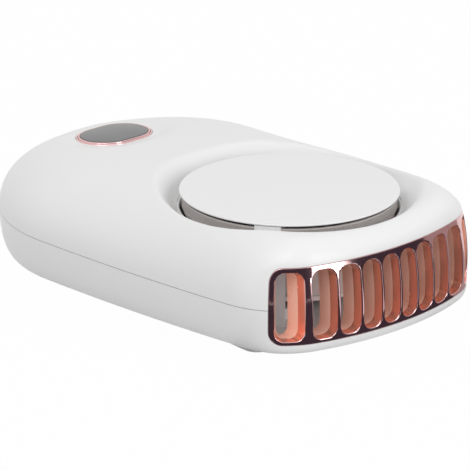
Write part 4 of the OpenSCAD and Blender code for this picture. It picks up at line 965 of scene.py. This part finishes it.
class FAN_OT_grille(bpy.types.Operator):
    """Models the slotted outlet grille flat, rounds its edges and lays it round the outlet"""
    bl_idname = "fan.grille"
    bl_label = "Outlet grille"

    def execute(self, context):
        form = Form(sizes())
        s = form.s
        z0, z1 = form.grille_z0, form.grille_z1
        loops = [rounded_loop(-form.u_end, form.u_end, z0, z1, s.frame_r, 10)]
        beside = [s.bar_t / 2] * 4 + [s.end_bar_t / 2, s.frame_end]
        for k in range(5):
            a = BAR_SHARES[k] * form.u_end + beside[k]
            b = BAR_SHARES[k + 1] * form.u_end - beside[k + 1]
            r = min((b - a) / 2 - SLOT_SPARE, s.slot_r)
            for side in (-1, 1):
                lo, hi = (a, b) if side > 0 else (-b, -a)
                loops.append(rounded_loop(lo, hi, z0 + s.slot_low, z1 - s.slot_top, r, 10))
        bm = flat_plate(loops, 0.0, s.slot_depth)
        round_edges(bm, [e for e in self.front_edges(bm) if self.beside_slot(form, e)], SLOT_EDGE, 4)
        round_edges(bm, self.front_edges(bm), FRAME_EDGE, 3)
        # Split at the depth from which the slots take the paler painted light
        split_at(bm, (0, s.painted_light_depth, 0), (0, 1, 0))
        # Faces between the bright face and the painted-light depth take the slot walls' colour, a painted
        # reflection
        for f in bm.faces:
            depth = f.calc_center_median().y
            f.material_index = 0 if depth < RIM_DEPTH else 1 if depth < s.painted_light_depth else 2
        wrap(bm, form, GRILLE_STEP_U, GRILLE_STEP_Z, 1.0)
        obj = make("outlet_grille_bars", bm, 30)
        looks = fan_finishes()
        for look in ("chrome", "copper", "slot_depth_painted_light"):
            obj.data.materials.append(looks[look])
        show(obj, "housing", looks["chrome"], "rose_chrome", "outlet_grille")
        return {"FINISHED"}

    @staticmethod
    def front_edges(bm):
        """Square edges on the front of the flat grille."""
        return [e for e in bm.edges if e.calc_face_angle(0.0) > FOLD
                and all(abs(v.co.y) < FINE_WELD for v in e.verts)]

    @staticmethod
    def beside_slot(form, edge):
        """Whether an edge of the flat grille borders a slot and not the frame's outline."""
        p, q = (v.co for v in edge.verts)
        x, z = (abs(p.x) + abs(q.x)) / 2, (p.z + q.z) / 2
        s = form.s
        return (x < form.u_end - s.frame_end * BORDER_SHARE and form.grille_z0 + s.slot_low * BORDER_SHARE < z
                and z < form.grille_z1 - s.slot_top * BORDER_SHARE)


# Disc: its steps, and how far in from the rim its underside is thinned
COVER_STEPS = 16
COVER_TURN_STEPS = 160
COVER_SHARP = 40
EDGE_IN = 0.0026
# Ring on the disc's underside
RIB_R_SHARE = 0.55
RIB_T = 0.0012
RIB_H = 0.0016
RIB_STEPS = 96
# Legs: the bearing of the first, the arc that each is cut from, its arm, hook and toe
LEG_FROM = 94.5
LEG_SPAN = 24.0
LEG_STEPS = 16
LEG_ROOT_SHARE = 0.8
LEG_TOE = 0.0005
ARM_GAP = 0.0002
HOOK_DROP = 0.0009
HOOK_T = 0.0006
HOOK_REACH = 0.0005
# Guard ring: cells round it, the open share of each and the hoops above and below
GUARD_R = 0.0257
GUARD_T = 0.0004
GUARD_N = 480
GUARD_OPEN = 0.45
GUARD_HOOP = 0.00035


class FAN_OT_intake_cover(bpy.types.Operator):
    """Models the round intake cover with its legs, its inner ring and its guard"""
    bl_idname = "fan.intake_cover"
    bl_label = "Intake cover"

    def execute(self, context):
        form = Form(sizes())
        s = form.s
        rim, thin = form.rim_z, s.cover_edge / 2
        section = [(0.0, rim - s.cover_t), (s.cover_r - EDGE_IN, rim - s.cover_t)]
        section += [(s.cover_r - thin + thin * math.cos(math.radians(a)),
                     rim - thin + thin * math.sin(math.radians(a))) for a in range(-60, 91, 15)]
        section += [((s.cover_r - thin) * t, rim + s.cover_dome * (1 - t ** 2))
                    for t in (1 - k / COVER_STEPS for k in range(1, COVER_STEPS + 1))]
        disc = self.revolve(section, form.disc_y, FULL_TURN, COVER_TURN_STEPS)
        obj = make("intake_cover_disc", disc, COVER_SHARP)
        for k in range(3):
            combine(obj, self.leg(form, math.radians(LEG_FROM + FULL_TURN / 3 * k)), "UNION")
        r1, r0 = s.cover_r * RIB_R_SHARE, s.cover_r * RIB_R_SHARE - RIB_T
        z1, z0 = rim - s.cover_t / 2, rim - s.cover_t / 2 - RIB_H
        ring = [(r1, z0), (r1, z1), (r0, z1), (r0, z0), (r1, z0)]
        combine(obj, make("inner_ring", self.revolve(ring, form.disc_y, FULL_TURN, RIB_STEPS)), "UNION")
        resmooth(obj, SKIN_SHARP)
        show(obj, "housing", fan_finishes()["cover"], "white_plastic", "intake_cover")
        show(make("intake_guard", self.guard(form)), "housing", fan_finishes()["guard"], "white_plastic")
        return {"FINISHED"}

    @staticmethod
    def guard(form):
        """Fine guard ring between the cover and the wheel, from one cell copied round the axis."""
        half = math.pi * GUARD_R / GUARD_N
        z0, z1 = form.land_z + NEAR_GAP, form.rim_z - form.s.cover_t + FIT_GAP
        gap = half * GUARD_OPEN
        cell = [(-half, z0), (half, z0), (half, z1), (-half, z1)]
        low, high = z0 + GUARD_HOOP, z1 - GUARD_HOOP
        slot = [(-gap, low), (gap, low), (gap, high), (-gap, high)]
        bm = flat_plate([cell, slot], GUARD_R - GUARD_T, GUARD_R)
        ends = [f for f in bm.faces if all(abs(abs(v.co.x) - half) < FINE_WELD for v in f.verts)
                and len({round(v.co.x, 7) for v in f.verts}) == 1]
        bmesh.ops.delete(bm, geom=ends, context="FACES")
        for v in bm.verts:
            a, r = v.co.x / GUARD_R, v.co.y
            v.co = (r * math.sin(a), form.disc_y + r * math.cos(a), v.co.z)
        turn = 2 * math.pi / GUARD_N
        bmesh.ops.spin(bm, geom=whole(bm), cent=(0, form.disc_y, 0), axis=(0, 0, 1),
                       angle=turn * (GUARD_N - 1), steps=GUARD_N - 1, use_duplicate=True)
        return bm

    @staticmethod
    def revolve(section, y, degrees, steps, start=0.0):
        """Spins a section of radius and height round the intake's axis."""
        bm = bmesh.new()
        vs = [bm.verts.new((r * math.cos(start), y + r * math.sin(start), z)) for r, z in section[:-1]]
        closed = section[0] == section[-1]
        if closed:
            pairs = list(zip(vs, vs[1:] + vs[:1]))
        else:
            r, z = section[-1]
            vs.append(bm.verts.new((r * math.cos(start), y + r * math.sin(start), z)))
            pairs = list(zip(vs, vs[1:]))
        edges = [bm.edges.new(p) for p in pairs]
        bmesh.ops.spin(bm, geom=vs + edges, cent=(0, y, 0), axis=(0, 0, 1), angle=math.radians(degrees),
                       steps=steps, use_merge=degrees == FULL_TURN)
        weld(bm, FINE_WELD)
        return bm

    def leg(self, form, turn):
        """Arm that sits on the land and hooks under the hole's lip."""
        s = form.s
        foot, top = form.rim_z - s.land_drop, form.rim_z - s.cover_t / 2
        arm, root = foot + ARM_GAP, s.cover_r * LEG_ROOT_SHARE
        hook, toe = s.hole_r - FIT_GAP, form.land_r - FIT_GAP
        low, catch = foot - s.wall - HOOK_DROP, foot - s.wall - FIT_GAP
        section = [(root, top), (root, arm), (hook - HOOK_T, arm), (hook - HOOK_T, low),
                   (hook + HOOK_REACH, low), (hook + HOOK_REACH, catch), (hook, catch), (hook, foot),
                   (toe, foot), (toe, foot + LEG_TOE), (hook, foot + LEG_TOE), (s.cover_r, top)]
        section.append(section[0])
        start = turn - math.radians(LEG_SPAN / 2)
        bm = self.revolve(section, form.disc_y, LEG_SPAN, LEG_STEPS, start)
        close_holes(bm)
        across = Vector((-math.sin(turn), math.cos(turn), 0))
        middle = Vector((0, form.disc_y, 0))
        for side in (-1, 1):
            split_at(bm, middle + side * across * s.leg_w / 2, across * side, dist=0.0, clear=True)
            close_holes(bm)
        return make("leg", bm)


# Ring's section: shares of its width from its outer edge, and heights above the button's plane
RING_SHAPE = ((1.0, 0.00030), (0.95, 0.00036), (0.86, 0.00039), (0.72, 0.00038), (0.62, 0.00034),
              (0.57, 0.00026), (0.54, 0.0), (0.50, -0.00022), (0.46, 0.0), (0.43, 0.00012), (0.38, 0.00016),
              (0.25, 0.00012), (0.08, 0.00003), (0.0, -0.00008))
# Ring's depth, and the height and reach of its foot under the shell
RING_DEEP = 0.0032
RING_FOOT = 0.0007
RING_REACH = 0.0009
# Key: its domed top, rounded edge, flange and stem
KEY_TOP = 0.0007
KEY_DOME = 0.00022
KEY_EDGE = 0.00025
KEY_LOW = 0.0041
KEY_FLANGE = 0.0006
STEM_R = 0.0016
STEM_L = 0.00027
PILL_STEPS = 36
KEY_STEPS = 12
BUTTON_SHARP = 40


class FAN_OT_button(bpy.types.Operator):
    """Models the bright ring and the domed key"""
    bl_idname = "fan.button"
    bl_label = "Button"

    def execute(self, context):
        form = Form(sizes())
        s = form.s
        looks = fan_finishes()
        outside = FIT_GAP + s.ring_w
        outline = pill_outline(s.key_half_len + outside, s.key_half_w + outside, PILL_STEPS)
        foot = RING_FOOT - RING_DEEP
        section = [(-s.ring_w, -RING_DEEP)] + [(-s.ring_w * a, z) for a, z in RING_SHAPE]
        section += [(0.0, foot), (RING_REACH, foot), (RING_REACH, -RING_DEEP)]

        def ring_point(i, j):
            p, n = outline[i]
            q = p + n * section[j][0]
            return at_button(form, q[0], q[1], section[j][1])
        bead = grid(len(outline), len(section), ring_point, True, True)
        ring = make("button_ring_bead", bead, BUTTON_SHARP)
        show(ring, "housing", looks["chrome"], "rose_chrome", "button_ring")

        straight = s.key_half_len - s.key_half_w
        key_line = pill_outline(s.key_half_len, s.key_half_w, PILL_STEPS)
        side = s.key_half_w - KEY_EDGE
        flange = s.key_half_w + KEY_FLANGE
        rest = KEY_FLANGE - KEY_LOW
        profile = [(0.0, -KEY_LOW), (flange, -KEY_LOW), (flange, rest), (s.key_half_w, rest)]
        profile += [(side + KEY_EDGE * math.cos(a), KEY_TOP - KEY_DOME - KEY_EDGE * (1 - math.sin(a)))
                    for a in (math.radians(d) for d in range(0, 91, 10))]
        profile += [(side * t, KEY_TOP - KEY_DOME * t * t)
                    for t in (1 - k / KEY_STEPS for k in range(1, KEY_STEPS + 1))]

        def key_point(i, j):
            p, n = key_line[i]
            r, z = profile[j]
            spine = Vector((max(-straight, min(straight, p[0])), 0.0))
            q = spine + n * r
            return at_button(form, q[0], q[1], z)
        bm = grid(len(key_line), len(profile) - 1, key_point, True)
        weld(bm)
        close_holes(bm)
        key = make("power_key_cap", bm, BUTTON_SHARP)
        stem = cylinder_bm(STEM_R, STEM_L + ROOT, (0, 0, (ROOT - STEM_L) / 2 - KEY_LOW), steps=40)
        for v in stem.verts:
            v.co = at_button(form, *v.co)
        combine(key, make("stem", stem), "UNION")
        resmooth(key, BUTTON_SHARP)
        show(key, "key", looks["key"], "key_grey", "power_key")
        return {"FINISHED"}


# Plate: rounding of its corners and rims
CLIP_CORNER = 0.0045
CLIP_EDGE = 0.0009
CLIP_SHARP = 40
# Ridge at the free end, and the play round the pin
RIDGE_R = 0.007
RIDGE_W_SHARE = 0.72
PIN_PLAY = 0.00005
# Grip grooves under the pressed end
GROOVE_N = 4
GROOVE_R = 0.0006
GROOVE_FROM = 0.004
GROOVE_STEP = 0.0024
GROOVE_W_SHARE = 0.5


class FAN_OT_belt_clip(bpy.types.Operator):
    """Models the belt clip with its rounded plate, its ridge, knuckles and grip grooves"""
    bl_idname = "fan.belt_clip"
    bl_label = "Belt clip"

    def execute(self, context):
        form = Form(sizes())
        s = form.s
        y0 = form.front_y + s.clip_y
        hy, hz = hinge_at(form)
        plate = block(s.clip_w, s.clip_l, s.clip_t, (0, y0 + s.clip_l / 2, s.clip_t / 2))
        for v in plate.verts:
            if v.co.y > y0 + s.clip_l / 2:
                v.co.x *= s.clip_end_w / s.clip_w
        round_edges(plate, upright_edges(plate), CLIP_CORNER, 12)
        rims = [e for e in plate.edges if abs(e.verts[0].co.z - e.verts[1].co.z) < FINE_WELD]
        round_edges(plate, rims, CLIP_EDGE, 5)
        obj = make("belt_clip_plate", plate, CLIP_SHARP)
        ridge_at = (0, y0 + s.clip_l - RIDGE_R, form.back_z - NEAR_GAP - RIDGE_R)
        ridge = cylinder_bm(RIDGE_R, s.clip_w * RIDGE_W_SHARE, ridge_at, "X", 128)
        low = s.clip_t / 2
        split_at(ridge, (0, 0, low), (0, 0, -1), dist=0.0, clear=True)
        close_holes(ridge)
        combine(obj, make("ridge", ridge), "UNION")
        for side in (-1, 1):
            x = side * KNUCKLE_X
            combine(obj, make("knuckle", cylinder_bm(KNUCKLE_R, KNUCKLE_W, (x, hy, hz), "X", 64)), "UNION")
            h = hz - low
            combine(obj, make("web", block(KNUCKLE_W, 2 * KNUCKLE_R, h, (x, hy, low + h / 2))), "UNION")
        bore = cylinder_bm(PIN_R + PIN_PLAY, s.clip_w, (0, hy, hz), "X", ROUND_STEPS)
        combine(obj, make("pin_bore", bore))
        for k in range(GROOVE_N):
            at = (0, y0 + GROOVE_FROM + GROOVE_STEP * k, 0)
            combine(obj, make("groove", cylinder_bm(GROOVE_R, s.clip_w * GROOVE_W_SHARE, at, "X", 32)))
        resmooth(obj, CLIP_SHARP)
        show(obj, "clip", fan_finishes()["clip"], "clip_plastic", "belt_clip")
        return {"FINISHED"}


class FAN_OT_inner_pieces(bpy.types.Operator):
    """Gives the solids that stay in view their finishes"""
    bl_idname = "fan.inner_pieces"
    bl_label = "Inner pieces"

    def execute(self, context):
        looks = fan_finishes()
        for node, look in SOLID_FINISHES.items():
            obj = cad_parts[node]
            obj.data.materials.clear()
            obj.data.materials.append(looks[look])
        return {"FINISHED"}


# Stage

# Lights: bearings and rises in degrees, and sizes
LIGHT_TURN = 7.0
LIGHT_RISE = 17.0
FRONT_LIGHT_SIZE = (0.4, 0.66)
TOP_LIGHT_SIZE = (0.9, 0.9)
TOP_LIGHT_Z = 0.8
SIDE_LIGHT_SIZE = (0.6, 0.6)
SIDE_LIGHT_TURN = -70.0
SIDE_LIGHT_RISE = 50.0
# Floor, and how far it is lifted to white where it is seen
FLOOR_HALF = 3.0
FLOOR_ROUGH = 0.9
FLOOR_LIFT = 0.985
# Cards that glow and show only in reflections, as painted reflections: flat from CARD_IN to CARD_OUT round
# CARD_Y, just above the floor, then upright to CARD_H
CARD_Y = -0.030
CARD_IN = 0.034
CARD_OUT = 0.26
CARD_LOW = 0.0004
CARD_H = 0.13
CARD_STEPS = 24
# Middle card's end, and the pale line between the two cards on the left
CARD_SHORT = 0.060
LINE_AT = 0.150
LINE_W = 0.005
# Bearings in degrees of the cards' ends, the window's about the front light's, and the end card's glow, which
# paints a paler reflection
CARD_FROM = -80.0
WINDOW_LEFT = 11.0
WINDOW_RIGHT = 9.0
END_FROM = 52.0
CARD_TO = 76.0
END_CARD_GLOW = 8.0
# Camera: the photograph's width in pixels, and the cover's place in it right of and above the middle
SENSOR = 36.0
PHOTO_SIZE = 470.0
COVER_PX_RIGHT = 54.57
COVER_PX_UP = 47.03
CLIP_NEAR = 0.01
CLIP_FAR = 20.0


def seen_share(nodes, links):
    """1 for the rays by which the camera, metal and glass see a surface, and 0 for light."""
    path = nodes.new("ShaderNodeLightPath")
    share = path.outputs["Is Camera Ray"]
    for ray in ("Is Glossy Ray", "Is Transmission Ray"):
        more = nodes.new("ShaderNodeMath")
        more.operation = "MAXIMUM"
        links.new(share, more.inputs[0])
        links.new(path.outputs[ray], more.inputs[1])
        share = more.outputs[0]
    return share


def room_world(strength):
    """White room that camera, metal and glass see, and that lights the fan plainly."""
    world = bpy.data.worlds.new("room")
    bpy.context.scene.world = world
    world.use_nodes = True
    nodes, links = world.node_tree.nodes, world.node_tree.links
    back = nodes["Background"]
    back.inputs["Color"].default_value = (1, 1, 1, 1)
    back.inputs["Strength"].default_value = strength
    white = nodes.new("ShaderNodeBackground")
    white.inputs["Color"].default_value = (1, 1, 1, 1)
    white.inputs["Strength"].default_value = 1.0
    blend = nodes.new("ShaderNodeMixShader")
    links.new(seen_share(nodes, links), blend.inputs[0])
    links.new(back.outputs[0], blend.inputs[1])
    links.new(white.outputs[0], blend.inputs[2])
    links.new(blend.outputs[0], nodes["World Output"].inputs["Surface"])


def floor_finish():
    """Pale floor: seen, it is lifted to white, and the fan's shadow stays on it."""
    mat, nodes, links = new_material("pale_floor")
    shader = nodes["Principled BSDF"]
    shader.inputs["Base Color"].default_value = tuple(bpy.context.scene.fan_colours.floor) + (1,)
    shader.inputs["Roughness"].default_value = FLOOR_ROUGH
    shader.inputs["Specular IOR Level"].default_value = 0.0
    white = nodes.new("ShaderNodeEmission")
    lift = nodes.new("ShaderNodeMath")
    lift.operation = "MULTIPLY"
    lift.inputs[1].default_value = FLOOR_LIFT
    blend = nodes.new("ShaderNodeMixShader")
    links.new(seen_share(nodes, links), lift.inputs[0])
    links.new(lift.outputs[0], blend.inputs[0])
    links.new(shader.outputs[0], blend.inputs[1])
    links.new(white.outputs[0], blend.inputs[2])
    links.new(blend.outputs[0], nodes["Material Output"].inputs["Surface"])
    return mat


def painted_reflection_glow(name, lift):
    """Even dark glow of a card, which shows only as a painted reflection; a lifted card glows paler and has
    no blue in its tint.
    """
    mat, nodes, links = new_material(name)
    glow = nodes.new("ShaderNodeEmission")
    dark = bpy.context.scene.fan_colours.card
    glow.inputs["Color"].default_value = (dark[0], dark[1], dark[1] if lift > 1 else dark[2], 1)
    glow.inputs["Strength"].default_value = lift
    links.new(glow.outputs[0], nodes["Material Output"].inputs["Surface"])
    return mat


def toward(turn, up):
    """Direction of a bearing from the outlet's side and an angle above the floor."""
    a, e = math.radians(turn), math.radians(up)
    return Vector((math.sin(a) * math.cos(e), -math.cos(a) * math.cos(e), math.sin(e)))


def painted_reflection_card(name, line, start, end, lift=1.0):
    """Glowing card before the outlet, from one bearing to the other, that only reflections show: a painted
    reflection.
    """
    bm = bmesh.new()
    a = math.radians(start)
    vs = [bm.verts.new((r * math.sin(a), CARD_Y - r * math.cos(a), z)) for r, z in line]
    edges = [bm.edges.new(pair) for pair in zip(vs, vs[1:])]
    bmesh.ops.spin(bm, geom=vs + edges, cent=(0, CARD_Y, 0), axis=(0, 0, 1), angle=math.radians(end - start),
                   steps=CARD_STEPS)
    card = make(name, bm)
    card.data.materials.append(painted_reflection_glow(name + "_face", lift))
    for kind in ("camera", "diffuse", "transmission", "volume_scatter", "shadow"):
        setattr(card, "visible_" + kind, False)


def area_light(name, power, size, place, target):
    """Soft square light that looks at a point."""
    data = bpy.data.lights.new(name, "AREA")
    data.energy = power
    data.shape = "RECTANGLE"
    data.size, data.size_y = size
    obj = bpy.data.objects.new(name, data)
    bpy.context.scene.collection.objects.link(obj)
    obj.location = place
    obj.rotation_euler = (Vector(target) - Vector(place)).to_track_quat("-Z", "Y").to_euler()
    return obj


class FAN_OT_stage(bpy.types.Operator):
    """Sets up the floor, the room, the lights and the camera"""
    bl_idname = "fan.stage"
    bl_label = "Stage"

    def execute(self, context):
        scene = context.scene
        st = scene.fan_stage
        form = Form(sizes())
        scene.view_settings.view_transform = "Standard"
        room_world(st.room)
        floor = bmesh.new()
        bmesh.ops.create_grid(floor, x_segments=2, y_segments=2, size=FLOOR_HALF)
        ground = make("floor", floor)
        ground.data.materials.append(floor_finish())
        middle = Vector((0, 0, form.back_z))
        area_light("top_light", st.top_power, TOP_LIGHT_SIZE, (0, 0, TOP_LIGHT_Z), middle)
        outlet = Vector((0, form.front_y, form.grille_mid))
        place = outlet + toward(LIGHT_TURN, LIGHT_RISE)
        area_light("front_light", st.front_power, FRONT_LIGHT_SIZE, place, outlet)
        place = middle + toward(SIDE_LIGHT_TURN, SIDE_LIGHT_RISE)
        area_light("side_light", st.side_power, SIDE_LIGHT_SIZE, place, middle)
        foot, wall = (CARD_IN, CARD_LOW), ((CARD_OUT, CARD_LOW), (CARD_OUT, CARD_H))
        near, far = (LINE_AT, CARD_LOW), (LINE_AT + LINE_W, CARD_LOW)
        left, right = LIGHT_TURN - WINDOW_LEFT, LIGHT_TURN + WINDOW_RIGHT
        painted_reflection_card("left_near_card", (foot, near), CARD_FROM, left)
        painted_reflection_card("left_card", (far,) + wall, CARD_FROM, left)
        painted_reflection_card("middle_card", (foot, (CARD_SHORT, CARD_LOW)), left, right)
        painted_reflection_card("right_card", (foot,) + wall, right, END_FROM)
        painted_reflection_card("end_card", (foot,) + wall, END_FROM, CARD_TO, END_CARD_GLOW)
        self.camera(scene, st, Vector((0, form.disc_y, form.rim_z)))
        return {"FINISHED"}

    @staticmethod
    def camera(scene, st, target):
        """Camera at the photograph's angle, aimed so that the cover falls where it does there."""
        a, e = st.azimuth, st.elevation
        back = Vector((math.sin(a) * math.cos(e), -math.cos(a) * math.cos(e), math.sin(e)))
        right = Vector((math.cos(a), math.sin(a), 0))
        up = back.cross(right)
        right, up = (right * math.cos(st.roll) + up * math.sin(st.roll),
                     up * math.cos(st.roll) - right * math.sin(st.roll))
        focal = st.lens / SENSOR * PHOTO_SIZE
        look = (-back - right * (COVER_PX_RIGHT / focal) - up * (COVER_PX_UP / focal)).normalized()
        side = look.cross(up).normalized()
        top = side.cross(look)
        data = bpy.data.cameras.new("camera")
        data.lens = st.lens
        data.sensor_width = SENSOR
        data.clip_start, data.clip_end = CLIP_NEAR, CLIP_FAR
        cam = bpy.data.objects.new("camera", data)
        scene.collection.objects.link(cam)
        turn = Matrix((side, top, -look)).transposed().to_4x4()
        cam.matrix_world = Matrix.Translation(target + back * st.distance) @ turn
        scene.camera = cam


class FAN_PT_panel(bpy.types.Panel):
    """Lists the steps that model the fan"""
    bl_idname = "FAN_PT_panel"
    bl_label = "Neck Fan"
    bl_space_type = "VIEW_3D"
    bl_region_type = "UI"
    bl_category = "Neck Fan"

    def draw(self, context):
        for step in STEPS:
            self.layout.operator(step.bl_idname)


STEPS = (FAN_OT_stage, FAN_OT_inner_pieces, FAN_OT_top_shell, FAN_OT_bottom_shell, FAN_OT_grille,
         FAN_OT_intake_cover, FAN_OT_button, FAN_OT_belt_clip)
CLASSES = (FanSizes, FanColours, FanStage) + STEPS + (FAN_PT_panel,)


def register():
    """Adds the classes and the scene's settings."""
    for cls in CLASSES:
        bpy.utils.register_class(cls)
    bpy.types.Scene.fan_sizes = PointerProperty(type=FanSizes)
    bpy.types.Scene.fan_colours = PointerProperty(type=FanColours)
    bpy.types.Scene.fan_stage = PointerProperty(type=FanStage)


def unregister():
    """Removes them again."""
    del bpy.types.Scene.fan_stage
    del bpy.types.Scene.fan_colours
    del bpy.types.Scene.fan_sizes
    for cls in reversed(CLASSES):
        bpy.utils.unregister_class(cls)


def main():
    """Registers the add-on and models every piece."""
    register()
    for step in STEPS:
        area, name = step.bl_idname.split(".")
        getattr(getattr(bpy.ops, area), name)()


if __name__ == "__main__":
    main()
